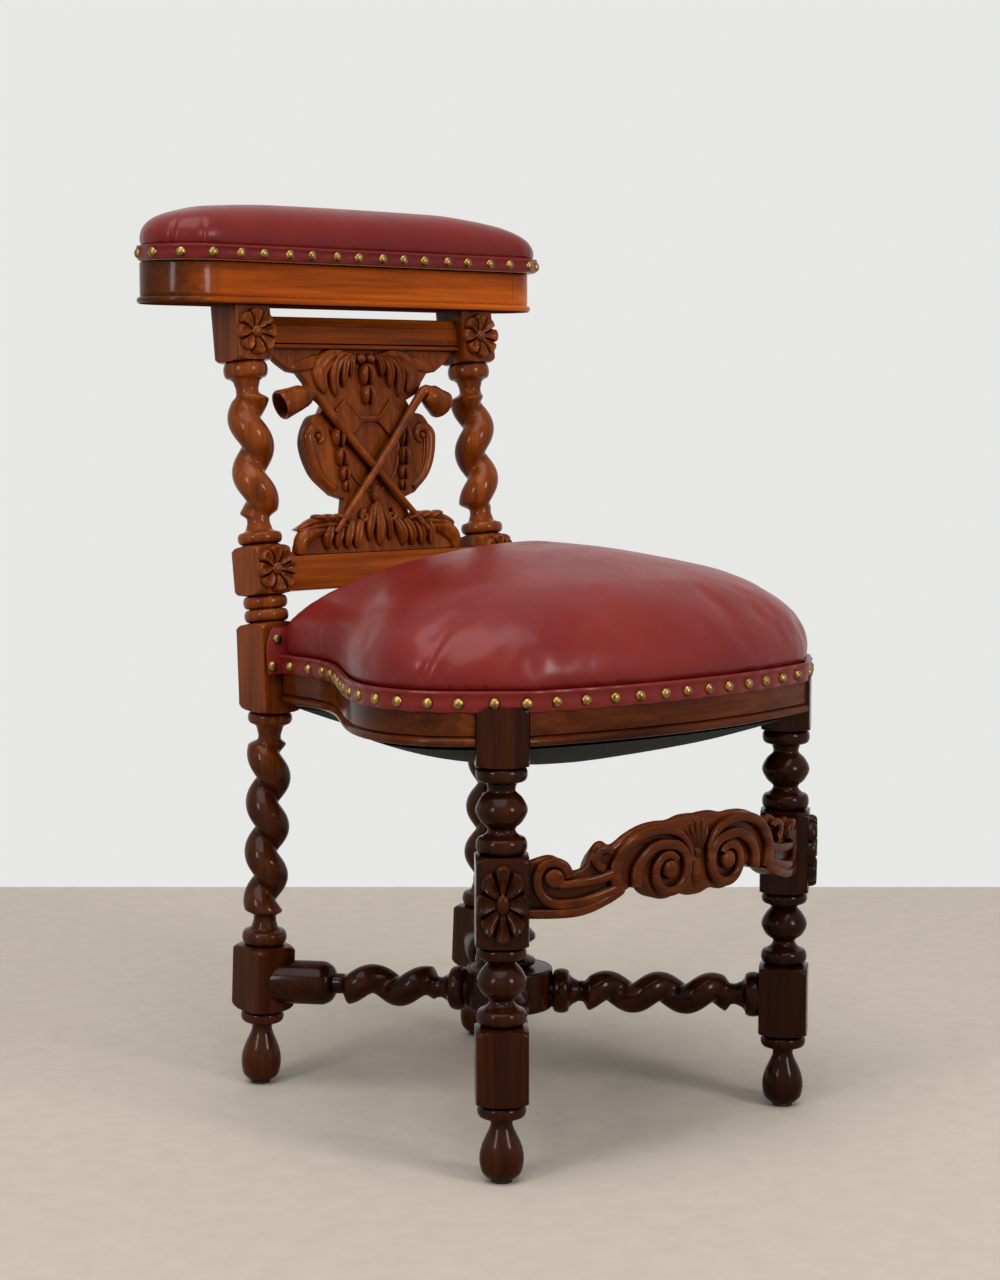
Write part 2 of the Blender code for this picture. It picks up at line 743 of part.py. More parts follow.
# Half of the splat's outline as (x, height, corner): the bracket, the scroll and the leafy foot
SPLAT_OUTLINE = (
    (0.1130, UPPER_RAIL[0] - GAP, True),
    (0.1010, 0.2850, False),
    (0.0880, 0.2765, True),
    (0.0775, 0.2750, True),
    (0.0700, 0.2665, True),
    (0.0640, 0.2560, True),
    (0.0490, 0.2490, True),
    (0.0560, 0.2375, True),
    (0.0700, 0.2325, False),
    (0.0805, 0.2090, False),
    (0.0715, 0.1800, False),
    (0.0500, 0.1600, True),
    (0.0365, 0.1555, True),
    (0.0400, 0.1490, True),
    (0.0660, 0.1470, False),
    (0.0980, 0.1300, True),
    (0.0880, 0.1285, True),
    (0.0870, 0.1220, True),
    (0.0955, 0.1150, False),
    (0.0985, LOWER_RAIL[1] + GAP, True),
)
# The pierced crescent between a scroll's curl and the shield
SPLAT_HOLE = ((0.045, 0.208, True), (0.0455, 0.218, False), (0.0485, 0.2225, True), (0.0475, 0.215, False))
# The raised collar above the shield
COLLAR = ((0.0123, 0.2335), (0.0277, 0.2505), (0.0403, 0.2400), (0.0440, 0.2560), (0.0300, 0.2880))
# A rolled scroll: a stem leaves its start and arrives at a curl that winds in round the eye
Scroll = namedtuple("Scroll", "start leave arrive eye radii begin turn roll")
SPLAT_SCROLL = Scroll(
    start=(0.0490, 0.1640),
    leave=(0.016, 0.008),
    arrive=0.025,
    eye=(0.0640, 0.2147),
    radii=(0.0130, 0.0045),
    begin=0.0,
    turn=1.9 * math.pi,
    roll=0.0045,
)
# Raised leaves as paths of (x, height) with a half-width at each point
TOP_LEAF = ((0.029, 0.290, 0.006), (0.045, 0.285, 0.010), (0.053, 0.272, 0.0105), (0.047, 0.258, 0.003))
TIP_LEAF = ((0.032, 0.137, 0.004), (0.055, 0.1405, 0.006), (0.078, 0.137, 0.0055), (0.095, 0.1305, 0.0015))
FOOT_LEAF = ((0.020, 0.128, 0.005), (0.040, 0.1275, 0.0085), (0.064, 0.120, 0.0085), (0.083, 0.113, 0.004))
CENTRE_LEAF = ((0.0, 0.152, 0.0035), (0.0, 0.138, 0.0075), (0.0, 0.125, 0.009), (0.0, 0.112, 0.004))


def rounded(knots, steps=3):
    """Points along a chain of (x, height, corner) knots, with smooth curves between the corners."""
    places = [Vector((x, 0, z)) for x, z, _ in knots]
    points = [places[0]]
    for k, (a, b) in enumerate(zip(places, places[1:])):
        from_corner, to_corner = knots[k][2], knots[k + 1][2]
        leave = b - a if from_corner else (b - places[k - 1]) / 2
        arrive = b - a if to_corner else (places[k + 2] - a) / 2
        if from_corner and to_corner:
            points.append(b)
        else:
            points += interpolate_bezier(a, a + leave / 3, b - arrive / 3, b, steps + 1)[1:]
    return points


def add_outline(curve, points):
    spline = curve.splines.new("POLY")
    spline.points.add(len(points) - 1)
    for target, point in zip(spline.points, points):
        target.co = (point.x, point.z, 0, 1)
    spline.use_cyclic_u = True


def panel(name, outlines, thick, middle=0.0):
    """A board of the back panel with these outlines, the later ones being holes."""
    curve = bpy.data.curves.new(name, "CURVE")
    curve.dimensions = "2D"
    curve.fill_mode = "BOTH"
    curve.extrude = thick / 2
    for outline in outlines:
        add_outline(curve, outline)
    drawn = bpy.data.objects.new(name, curve)
    mesh = bpy.data.meshes.new_from_object(drawn)
    bpy.data.objects.remove(drawn)
    shape = bmesh.new()
    shape.from_mesh(mesh)
    bmesh.ops.remove_doubles(shape, verts=shape.verts, dist=1e-5)
    shape.transform(BACK_FRAME @ Matrix.Translation((0, middle, 0)) @ Matrix.Rotation(math.pi / 2, 4, "X"))
    return to_object(name, shape)


def on_panel(point):
    return BACK_FRAME @ point


def tube(name, path, radii, sides, flat=1.0, place=on_panel):
    """A round or flattened bar along a path, drawn flat and then carried to its place."""
    rings = []
    for k, (centre, radius) in enumerate(zip(path, radii)):
        run = path[min(k + 1, len(path) - 1)] - path[max(k - 1, 0)]
        frame = facing(centre, run, Vector((0, -1, 0)))
        angles = [2 * math.pi * i / sides for i in range(sides)]
        ring = [frame @ Vector((0, radius * math.cos(a), flat * radius * math.sin(a))) for a in angles]
        rings.append([place(point) for point in ring])
    return loft(name, rings)


def volute(centre, radii, begin, turn, count):
    """Points of a spiral from its rim inwards."""
    points = []
    for k in range(count + 1):
        angle = begin + turn * k / count
        radius = blend(*radii, k / count)
        points.append(Vector((centre[0] + radius * math.cos(angle), 0, centre[1] + radius * math.sin(angle))))
    return points


def scroll_rim(name, scroll, side, front, place=on_panel):
    """The rolled edge of a scroll, standing out to the front."""
    steps = round(scroll.turn / math.tau * SCROLL_STEPS)
    curl = volute(scroll.eye, scroll.radii, scroll.begin, scroll.turn, steps)
    heading = Vector((-math.sin(scroll.begin), 0, math.cos(scroll.begin))) * scroll.arrive
    start = Vector((scroll.start[0], 0, scroll.start[1]))
    leave = Vector((scroll.leave[0], 0, scroll.leave[1]))
    stem = interpolate_bezier(start, start + leave, curl[0] - heading, curl[0], 5)
    path = [Vector((side * p.x, scroll.roll - front, p.z)) for p in (*stem[:-1], *curl)]
    radii = [scroll.roll * (1 - 0.35 * k / len(path)) for k in range(len(path))]
    return keep_helper(tube(f"{name}_{SIDE_NAME[side]}", path, radii, CARVED_SIDES, place=place))


def raised_leaf(name, leaf, side, rise):
    """A leaf's swelling body, half sunk in the board."""
    sunk = LEAF_SINK - SPLAT_THICK / 2
    across = [Vector((side * x, sunk, z)) for x, z, _ in leaf]
    path = []
    radii = []
    for k in range(len(leaf) - 1):
        path += [across[k], across[k].lerp(across[k + 1], 0.5)]
        radii += [leaf[k][2], (leaf[k][2] + leaf[k + 1][2]) / 2]
    path.append(across[-1])
    radii.append(leaf[-1][2])
    return keep_helper(tube(name, path, radii, CARVED_SIDES, rise / max(radii)))


def build_splat():
    """The pierced and carved back splat, with a tongue into each back rail."""
    right = rounded(SPLAT_OUTLINE)
    hole = rounded((*SPLAT_HOLE, SPLAT_HOLE[0]))[:-1]
    outlines = [[*right, *mirrored(reversed(right))], hole, mirrored(hole)]
    splat = keep(panel("splat", outlines, SPLAT_THICK), OAK)
    half = [Vector((x, 0, z)) for x, z in COLLAR]
    collar = panel("collar", [[*half, *mirrored(reversed(half))]], RELIEF, -SPLAT_THICK / 2)
    combine(splat, keep_helper(collar), "UNION")
    for side in (-1, 1):
        name = SIDE_NAME[side]
        combine(splat, scroll_rim("scroll_rim", SPLAT_SCROLL, side, SPLAT_THICK / 2 + RELIEF), "UNION")
        combine(splat, raised_leaf(f"top_leaf_{name}", TOP_LEAF, side, 1.5 * RELIEF), "UNION")
        combine(splat, raised_leaf(f"foot_leaf_{name}", FOOT_LEAF, side, RELIEF), "UNION")
        combine(splat, raised_leaf(f"tip_leaf_{name}", TIP_LEAF, side, RELIEF), "UNION")
    combine(splat, raised_leaf("centre_leaf", CENTRE_LEAF, 1, 1.5 * RELIEF), "UNION")
    tongues = [tongue_slot(UPPER_RAIL[0] - GAP, 1), tongue_slot(LOWER_RAIL[1] + GAP, -1)]
    combine(splat, boxes("splat_tongues", tongues), "UNION")
    join_flat_facets(splat)


def pipe(name, side, lift, spare=0.0):
    """A bent pipe from its bowl's mouth to the stem's end, lifted where it crosses the other one."""
    ground = -SPLAT_THICK / 2 - GAP
    stem = PIPE_RADII[5]
    level = Vector((0, ground - PIPE_RADII[3], 0))
    mouth, heel, end = (Vector((side * x, 0, z)) for x, z in (PIPE_MOUTH, PIPE_HEEL, PIPE_END))
    cross = heel.lerp(end, PIPE_HEEL[0] / (PIPE_HEEL[0] - PIPE_END[0]))
    throat = heel.lerp(mouth, 0.38) + UP * 0.0022
    over = Vector((0, ground - stem - lift, 0))
    rest = Vector((0, ground - RELIEF - PIPE_RADII[7], 0))
    path = [mouth + level, mouth.lerp(throat, 0.5) + level, throat + level, heel + level]
    path += [heel.lerp(cross, 0.55) + level.lerp(over, 0.8), cross + over]
    path += [cross.lerp(end, 0.45) + over.lerp(rest, 0.45), end + rest]
    return tube(name, path, [radius + spare for radius in PIPE_RADII], PIPE_SIDES)


def build_pipes():
    """Crossed tobacco pipes on the splat. The left one is notched for the right one to lie over it."""
    lift = PIPE_RADII[5]
    left = keep(pipe("pipe_left", -1, 0.0), OAK)
    combine(left, keep_helper(pipe("pipe_notch", 1, lift, GAP)), "DIFFERENCE")
    keep(pipe("pipe_right", 1, lift), OAK)


def rosette(name, frame, stretch=1.0):
    """An eight-petalled flower with a domed eye, carved proud of its block."""
    petals = 8
    rings = []
    steps = ((0.97, 0.0, 0.05), (0.97, 0.40, 0.05), (0.70, 0.75, 0.04), (0.36, 0.45, 0.0), (0.22, 1.0, 0.0))
    for share, rise, wave in steps:
        ring = []
        for i in range(2 * petals):
            radius = ROSETTE_RADIUS * (share + (wave if i % 2 else -wave))
            angle = math.pi * i / petals
            point = (radius * math.cos(angle), -GAP - ROSETTE_RISE * rise, radius * math.sin(angle) * stretch)
            ring.append(frame @ Vector(point))
        rings.append(ring)
    return keep(loft(name, rings), OAK)


def build_rosettes():
    for side in (-1, 1):
        for place, height in zip(("lower", "upper"), BACK_ROSETTES):
            frame = BACK_FRAME @ Matrix.Translation((side * REAR_POST_X, -BACK_BLOCK / 2, height))
            rosette(f"rosette_{place}_{SIDE_NAME[side]}", frame)
        turn = Matrix.Translation(leg_axis(side, LEG_ROSETTE_Z)) @ Matrix.Rotation(side * DIAGONAL, 4, "Z")
        frame = turn @ Matrix.Translation((0, -LEG_REACH, 0))
        rosette(f"rosette_leg_{SIDE_NAME[side]}", frame, LEG_ROSETTE_STRETCH)


def build_hub():
    """A turned drum that the four arms meet in, with a ringed finial on top."""
    drum = ((0.0, 0.70), (0.05, 0.90), (0.18, 1.0), (0.92, 1.0), (1.0, 0.92))
    lower_bead = ((0.0, 0.75), (0.07, 1.0), (0.19, 1.0), (0.30, 0.5))
    upper_bead = ((0.44, 0.5), (0.60, 1.0), (0.74, 1.0), (0.93, 0.6), (1.0, 0.2))
    hub = Turning()
    for share, width in drum:
        hub.round((blend(HUB_LOW, HUB_HIGH, share), HUB_RADIUS * width))
    for share, width in (*lower_bead, *upper_bead):
        hub.round((HUB_HIGH + FINIAL_HEIGHT * share, FINIAL_RADIUS * width))
    rings = hub.points(lambda z, x, y: Vector((x, HUB_Y + y, z)))
    piece = keep(loft("stretcher_hub", rings), OAK)
    pegs = [arm_pegs(side, near, GAP)[0] for side in (-1, 1) for near in (True, False)]
    combine(piece, rods("hub_peg_holes", pegs, ARM_PEG + GAP, SIDES), "DIFFERENCE")


def arm_start():
    """An arm from its peg in the hub to the neck before its rope."""
    arm = Turning(ARM_SIDES)
    arm.round((HUB_RADIUS - PEG_LENGTH, ARM_PEG), (HUB_RADIUS + GAP, ARM_PEG))
    arm.ring(HUB_RADIUS + 0.0080, ARM_RING, 0.0072)
    arm.round((ARM_ROPE_START - 0.0085, 0.0120), (ARM_ROPE_START - 0.0035, ARM_NECK))
    return arm


def uppermost(crest_at, pitch, hand):
    """The angle at which a rope starts, for its ridge to come uppermost at a distance from the hub."""
    return math.pi / 2 - hand * 2 * math.pi * (crest_at - ARM_ROPE_START) / pitch


def finish_arm(turning, side, near, seat):
    """Places an arm, cuts its end to the block it meets and gives it its peg."""
    name = f"{'front' if near else 'rear'}_{SIDE_NAME[side]}"
    frame = facing(HUB_CENTRE, arm_end(side, near) - HUB_CENTRE)
    rings = turning.points(lambda z, x, y: frame @ Vector((z, x, y)))
    piece = keep(loft(f"stretcher_arm_{name}", rings), OAK)
    combine(piece, boxes(f"arm_notch_{name}", [seat]), "DIFFERENCE")
    combine(piece, rods(f"arm_peg_{name}", arm_pegs(side, near)[1:], ARM_PEG, SIDES), "UNION")


def build_front_arms():
    for side in (-1, 1):
        reach = (arm_end(side, True) - HUB_CENTRE).length - LEG_REACH
        arm = arm_start()
        crest = uppermost(FRONT_ARM_CREST, FRONT_ARM_PITCH, -side)
        arm.rope(ARM_ROPE_START, reach - 0.0245, FRONT_ARM_PITCH, -side, crest, ARM_STRAND, ARM_NECK)
        arm.round((reach - 0.0215, ARM_NECK), (reach - 0.0155, 0.0120))
        arm.ring(reach - 0.0055, ARM_RING, 0.0075)
        size = LEG_SIDE + 2 * GAP
        block = Matrix.Translation(leg_axis(side, STRETCHER_Z)) @ Matrix.Rotation(side * DIAGONAL, 4, "Z")
        finish_arm(arm, side, True, block @ Matrix.Diagonal((size, size, 0.08, 1)))


def build_rear_arms():
    for side in (-1, 1):
        reach = (arm_end(side, False) - HUB_CENTRE).length
        arm = arm_start()
        crest = uppermost(REAR_ARM_CREST, REAR_ARM_PITCH, side)
        arm.rope(ARM_ROPE_START, REAR_ROPE_END, REAR_ARM_PITCH, side, crest, ARM_STRAND, ARM_NECK)
        arm.round((REAR_ROPE_END + 0.0030, ARM_NECK), (REAR_ROPE_END + 0.0075, ARM_NECK))
        arm.round((REAR_ROPE_END + 0.0085, ARM_RING * 0.65), (REAR_ROPE_END + 0.0130, ARM_RING * 0.88))
        arm.round((REAR_ROPE_END + 0.0190, ARM_RING), (reach - 0.004, ARM_RING))
        size = POST_SIDE + 2 * GAP
        lean = Matrix.Rotation(math.atan(LOWER_RAKE), 4, "X")
        block = Matrix.Translation(arm_end(side, False)) @ lean
        finish_arm(arm, side, False, block @ Matrix.Diagonal((size, size, 0.08, 1)))


# Lower and upper edge of the carved front stretcher, by share of the run from leg to middle
STRETCHER_EDGE = (
    (0.00, 0.2200, 0.2670),
    (0.09, 0.2202, 0.2711),
    (0.15, 0.2206, 0.2680),
    (0.21, 0.2214, 0.2580),
    (0.28, 0.2233, 0.2607),
    (0.31, 0.2247, 0.2720),
    (0.34, 0.2262, 0.2785),
    (0.38, 0.2290, 0.2800),
    (0.43, 0.2330, 0.2764),
    (0.51, 0.2358, 0.2835),
    (0.58, 0.2400, 0.2880),
    (0.63, 0.2385, 0.2900),
    (0.67, 0.2310, 0.2908),
    (0.73, 0.2258, 0.2912),
    (0.80, 0.2243, 0.2908),
    (0.88, 0.2268, 0.2935),
    (0.95, 0.2240, 0.2937),
    (1.00, 0.2235, 0.2932),
)


# Scrolls of the front stretcher: the large middle ones and the ends at the legs
STRETCHER_SCROLLS = {
    "middle_scroll": Scroll(
        start=(0.0780, 0.2750),
        leave=(-0.014, 0.016),
        arrive=0.034,
        eye=(0.0346, 0.2505),
        radii=(0.0205, 0.0070),
        begin=math.pi,
        turn=2.5 * math.pi,
        roll=0.0045,
    ),
    "end_scroll": Scroll(
        start=(0.0950, 0.2330),
        leave=(0.022, -0.010),
        arrive=0.022,
        eye=(0.1430, 0.2552),
        radii=(0.0115, 0.0040),
        begin=0.0,
        turn=1.7 * math.pi,
        roll=0.004,
    ),
}


def bow_line():
    """The bowed middle line of the front stretcher from the left leg to the middle, and its lengths."""
    _, along = leg_directions(-1)
    leg = leg_axis(-1) - along * (LEG_REACH + GAP)
    middle = Vector((0, FRONT_BOW_Y, 0))
    line = interpolate_bezier(leg, leg - along * 0.045, middle - Vector((0.085, 0, 0)), middle, 61)
    lengths = [0.0]
    for before, after in zip(line, line[1:]):
        lengths.append(lengths[-1] + (after - before).length)
    return line, lengths


BOW, BOW_LENGTHS = bow_line()


def on_bow(point):
    """Carries a flat point, at its distance along the bow from the middle, onto the bowed stretcher."""
    from_leg = BOW_LENGTHS[-1] - abs(point.x)
    k = max(0, min(len(BOW) - 2, bisect_right(BOW_LENGTHS, from_leg) - 1))
    share = (from_leg - BOW_LENGTHS[k]) / (BOW_LENGTHS[k + 1] - BOW_LENGTHS[k])
    run = (BOW[k + 1] - BOW[k]).normalized()
    if abs(point.x) < 1e-9:
        run = Vector((1, 0, 0))
    placed = BOW[k].lerp(BOW[k + 1], share) + Vector((-run.y, run.x, 0)) * point.y
    side = 1 if point.x > 0 else -1
    return Vector((-side * placed.x, placed.y, point.z))


def build_front_stretcher():
    """The bowed stretcher between the front legs: rolled scrolls, and a top that slopes to the back."""
    back = FRONT_STRETCHER / 2
    front = back - STRETCHER_RELIEF
    ease = STRETCHER_EASE
    half = [(-BOW_LENGTHS[-1] * (1 - share), low, high) for share, low, high in STRETCHER_EDGE]
    rings = []
    for along, low, high in [*half, *((-at, low, high) for at, low, high in reversed(half[:-1]))]:
        upper = ((-front, high - ease), (ease - front, high), (back, high - STRETCHER_FALL))
        lower = ((back, low), (ease - front, low), (-front, low + ease))
        rings.append([on_bow(Vector((along, depth, z))) for depth, z in (*upper, *lower)])
    piece = keep(loft("front_stretcher", rings), OAK)
    for side in (-1, 1):
        for name, scroll in STRETCHER_SCROLLS.items():
            combine(piece, scroll_rim(name, scroll, side, back, on_bow), "UNION")
    combine(piece, boxes("stretcher_tenons", [front_stretcher_joint(side) for side in (-1, 1)]), "UNION")
    join_flat_facets(piece)


def stadium(half, radius, centre_y, arc=STADIUM_ARC, stops=()):
    """A run of stations round a bar with half-round ends, and at these stops along its sides."""
    stations = []
    for side in (1, -1):
        for k in range(arc + 1):
            angle = math.pi * k / arc - math.pi / 2
            normal = Vector((side * math.cos(angle), side * math.sin(angle), 0))
            centre = Vector((side * (half - radius), centre_y, 0))
            stations.append((centre + normal * radius, normal))
        for x in stops:
            stations.append((Vector((side * x, centre_y + side * radius, 0)), Vector((0, side, 0))))
    return stations


def slab(name, stations, profile):
    """A board with a moulded edge: rings of the outline, each set out by a depth at a height."""
    rings = [[point - normal * depth + UP * z for point, normal in stations] for depth, z in profile]
    return loft(name, rings)


def build_box():
    outline = stadium(BOX_HALF, BOX_RADIUS, BOX_Y)
    top = BOX_LOW + BOX_FLOOR
    edge = (
        (0.002, BOX_LOW),
        (-BOX_LIP * 0.7, BOX_LOW + 0.0008),
        (-BOX_LIP, BOX_LOW + 0.0030),
        (-BOX_LIP * 0.6, BOX_LOW + 0.0054),
        (0.0, BOX_LOW + 0.0062),
        (0.0, top),
    )
    floor = keep(slab("box_floor", outline, edge), LIGHT_OAK)
    pocket = BACK_BLOCK * POST_TENON_SHARE + 2 * GAP
    y = rear_axis_y(BOX_LOW)
    deep = POST_TENON_RISE + 2 * GAP
    frames = [
        Matrix.Translation((side * REAR_POST_X, y, BOX_LOW + deep / 2 - 0.001))
        @ Matrix.Diagonal((pocket, pocket, deep + 0.002, 1))
        for side in (-1, 1)
    ]
    combine(floor, boxes("box_floor_mortises", frames), "DIFFERENCE")
    low = top + GAP
    straight = 2 * (BOX_HALF - BOX_RADIUS) - 2 * GAP
    size = (straight, BOX_WALL, BOX_HIGH - low)
    for name, way in (("box_wall_front", -1), ("box_wall_back", 1)):
        y = BOX_Y + way * (BOX_RADIUS - BOX_WALL / 2)
        keep(block_piece(name, (0, y, (low + BOX_HIGH) / 2), size), LIGHT_OAK)
    section = ((0.0, low), (0.0, BOX_HIGH - 0.002), (0.002, BOX_HIGH), (BOX_WALL, BOX_HIGH), (BOX_WALL, low))
    count = len(outline) // 2
    for name, half in (("box_end_right", outline[:count]), ("box_end_left", outline[count:])):
        keep(sweep(name, half, section), LIGHT_OAK)


def lid_top(point, share):
    """Raises a point by its share of the pad's height, which falls away towards the pad's ends."""
    near_end = max(0.0, 1 - (LID_HALF - abs(point.x)) / LID_END_RUN)
    rise = (LID_CROWN - LID_HIGH - GAP) * (1 - LID_END_FALL * near_end**1.5)
    return point + UP * (LID_HIGH + GAP + rise * share)


def build_lid():
    outline = stadium(LID_HALF, LID_RADIUS, LID_Y)
    keep(slab("lid_board", outline, ((0.0, LID_LOW), (0.0, LID_HIGH))), PINE, LID_PIVOT)
    band = ((-GAP, LID_LOW), (-GAP - LEATHER, LID_LOW), (-GAP - LEATHER, LID_HIGH), (-GAP, LID_HIGH))
    keep(sweep("lid_band", outline, band, closed=True), HIDE, LID_PIVOT)
    side = ((0.0010, 0.0), (-0.0012, 0.14), (-0.0012, 0.34), (0.0035, 0.60))
    crown = (*side, (0.0110, 0.80), (0.0215, 0.93), (0.0340, 1.0))
    level = LID_HALF - LID_END_RUN
    sloping = level + LID_END_RUN * 0.3
    outline = stadium(LID_HALF, LID_RADIUS, LID_Y, stops=(sloping, level, -level, -sloping))
    rings = []
    for depth, share in crown:
        rings.append([lid_top(point - normal * depth, share) for point, normal in outline])
    keep(loft("lid_cushion", rings, fold=STADIUM_ARC // 2), HIDE, LID_PIVOT)


def hinge_section(x, way, knuckle):
    """A leaf's section at one place along the pin: the plate, with or without its knuckle."""
    front = HINGE_Y - BARREL
    plate_end = HINGE_Z + way * (BARREL + GAP)
    far = HINGE_Z + way * (BARREL + GAP + LEAF_HEIGHT)
    arc = 5
    points = [Vector((x, front, far)), Vector((x, front, plate_end))]
    last = math.pi + math.asin((BARREL - LEAF_THICK) / BARREL) + math.pi / 2
    for k in range(arc + 1):
        share = k / arc
        if knuckle:
            angle = math.pi - last * share
            y = HINGE_Y + BARREL * math.cos(angle)
            z = HINGE_Z - way * BARREL * math.sin(angle)
        else:
            y = front + LEAF_THICK * (0.05 + 0.9 * share)
            z = plate_end
        points.append(Vector((x, y, z)))
    points.append(Vector((x, front + LEAF_THICK, plate_end)))
    points.append(Vector((x, front + LEAF_THICK, far)))
    return points


def hinge_leaf(name, x, way, spans, material, parent):
    half = HINGE_LENGTH / 2
    cuts = [(x - half, False)]
    for low, high in spans:
        cuts += [(x + low, False), (x + low, True), (x + high, True), (x + high, False)]
    cuts.append((x + half, False))
    places = [cut for k, cut in enumerate(cuts) if k == 0 or cut != cuts[k - 1]]
    if places[0][0] == places[1][0]:
        places = places[1:]
    if places[-1][0] == places[-2][0]:
        places = places[:-1]
    leaf = keep(loft(name, [hinge_section(at, way, knuckle) for at, knuckle in places]), material, parent)
    bore = Matrix.Translation((x, HINGE_Y, HINGE_Z)) @ Matrix.Rotation(math.pi / 2, 4, "Y")
    bore = bore @ Matrix.Diagonal((1, 1, HINGE_LENGTH + 0.01, 1))
    return combine(leaf, rods(f"{name}_bore", [bore], PIN_RADIUS + PIN_PLAY, PIN_SIDES), "DIFFERENCE")


def build_hinges():
    half = HINGE_LENGTH / 2
    knuckle = HINGE_KNUCKLE / 2
    for side in (-1, 1):
        x = side * HINGE_X
        outer = [(-half, -knuckle - GAP), (knuckle + GAP, half)]
        hinge_leaf(f"hinge_box_leaf_{SIDE_NAME[side]}", x, -1, outer, BRASS, ROOT)
        hinge_leaf(f"hinge_lid_leaf_{SIDE_NAME[side]}", x, 1, [(-knuckle, knuckle)], BRASS, LID_PIVOT)
        shape = bmesh.new()
        frame = Matrix.Translation((x, HINGE_Y, HINGE_Z)) @ Matrix.Rotation(math.pi / 2, 4, "Y")
        bmesh.ops.create_cone(
            shape,
            cap_ends=True,
            segments=PIN_SIDES,
            radius1=PIN_RADIUS,
            radius2=PIN_RADIUS,
            depth=HINGE_LENGTH,
            matrix=frame,
        )
        keep(to_object(f"hinge_pin_{SIDE_NAME[side]}", shape), BRASS)


def seat_run():
    """The whole open run of the seat's face, from the left rear post round to the right one."""
    return [*side_stations(), *front_stations(), *flipped(side_stations())]


def build_seat_band():
    section = ((-GAP, BAND_LOW), (-GAP - LEATHER, BAND_LOW), (-GAP - LEATHER, BAND_HIGH), (-GAP, BAND_HIGH))
    keep(sweep("seat_band", seat_run(), section), HIDE)


def seat_loop():
    """The cushion's closed edge: the seat's run, then round the posts and along the back rail."""
    run = [point for point, _ in seat_run()]
    inner = REAR_POST_X - POST_REACH - 2 * GAP
    back = REAR_POST_Y + BACK_RAIL_THICK / 2
    notch = REAR_POST_Y - POST_REACH - 4 * GAP
    right = [Vector((inner, notch, 0)), Vector((inner, back, 0)), Vector((inner / 2, back, 0))]
    return [*run, *right, Vector((0, back, 0)), *mirrored(reversed(right))]


def height_kept(point, share):
    """How much of its height the seat keeps as it slopes down to the back rail and, less, to the front."""
    back = max(0.0, (point.y - CROWN_Y) / (REAR_POST_Y - CROWN_Y))
    front = min(1.0, max(0.0, 0.5 + (CROWN_Y - point.y) / FRONT_RUN))
    out = min(1.0, share / FRONT_SHOULDER)
    return (1 - REAR_FALL * (back * share) ** 1.5) * (1 - FRONT_FALL * front * out * out * (3 - 2 * out))


def swell(point, share):
    """The side's swelling over the band, which dies away before the rear posts."""
    if share <= 1.0:
        return share
    fade = (REAR_POST_Y - 2 * POST_REACH - point.y) / POST_SIDE
    return 1.0 + (share - 1.0) * min(1.0, max(0.0, fade))


def build_seat_cushion():
    """A crowned seat, hollow underneath for its springs, with sides that swell over the band."""
    edge = seat_loop()
    centre = Vector((0, CROWN_Y, 0))
    low = RAIL_HIGH + GAP
    rise = CROWN_Z - low
    hollow = HOLLOW_Z - low
    under = ((0.22, hollow), (0.50, hollow * 0.86), (0.70, hollow * 0.52), (0.80, 0.0))
    side = ((0.995, 0.0), (1.017, 0.14), (1.019, 0.30), (0.990, 0.46))
    crown = ((0.92, 0.62), (0.80, 0.78), (0.58, 0.915), (0.22, 1.0))
    over = [(share, rise * z) for share, z in (*side, *crown)]
    rings = []
    for share, z in (*under, *over):
        ring = []
        for point in edge:
            reach = swell(point, share)
            ring.append(centre + (point - centre) * reach + UP * (low + z * height_kept(point, share)))
        rings.append(ring)
    keep(loft("seat_cushion", rings), HIDE)


def ribbon(name, path, across):
    """A flat strap along a path, with its width along the given direction."""
    half = across * (STRAP_WIDTH / 2)
    lift = UP * (STRAP_THICK / 2)
    rings = [[p - half - lift, p + half - lift, p + half + lift, p - half + lift] for p in path]
    return keep(loft(name, rings), JUTE)


def seat_half_width(y):
    """Half the seat's width at a place along its depth."""
    run = [point for point, _ in side_stations()]
    for rear, front in zip(run, run[1:]):
        if front.y <= y <= rear.y:
            return -blend(rear.x, front.x, (rear.y - y) / (rear.y - front.y))
    return SEAT_HALF


def weave_path(direction, fixed, end_low, end_high, crossings, first_up):
    """Points of a strap that goes over and under the straps it crosses."""
    flat = STRAP_WIDTH / 2 + 0.002
    level = RAIL_LOW - GAP - STRAP_THICK / 2
    path = [(end_low, level)]
    for k, crossing in enumerate(crossings):
        height = level if (k % 2 == 0) == first_up else level - WEAVE
        path += [(crossing - flat, height), (crossing + flat, height)]
    path.append((end_high, level))
    return [fixed + direction * at + UP * height for at, height in path]


def build_webbing():
    rows = [(-1 + k) * STRAP_PITCH for k in range(3)]
    crosses = [CROWN_Y + 0.018 + row for row in rows]
    front = SEAT_FRONT + RAIL_THICK * 0.75
    for k, x in enumerate(rows):
        path = weave_path(Vector((0, 1, 0)), Vector((x, 0, 0)), front, REAR_POST_Y, crosses, k % 2 == 0)
        ribbon(f"webbing_long_{k + 1}", path, Vector((1, 0, 0)))
    for k, y in enumerate(crosses):
        reach = seat_half_width(y + STRAP_WIDTH / 2) - RAIL_THICK * 0.45
        path = weave_path(Vector((1, 0, 0)), Vector((0, y, 0)), -reach, reach, rows, k % 2 == 1)
        ribbon(f"webbing_cross_{k + 1}", path, Vector((0, 1, 0)))


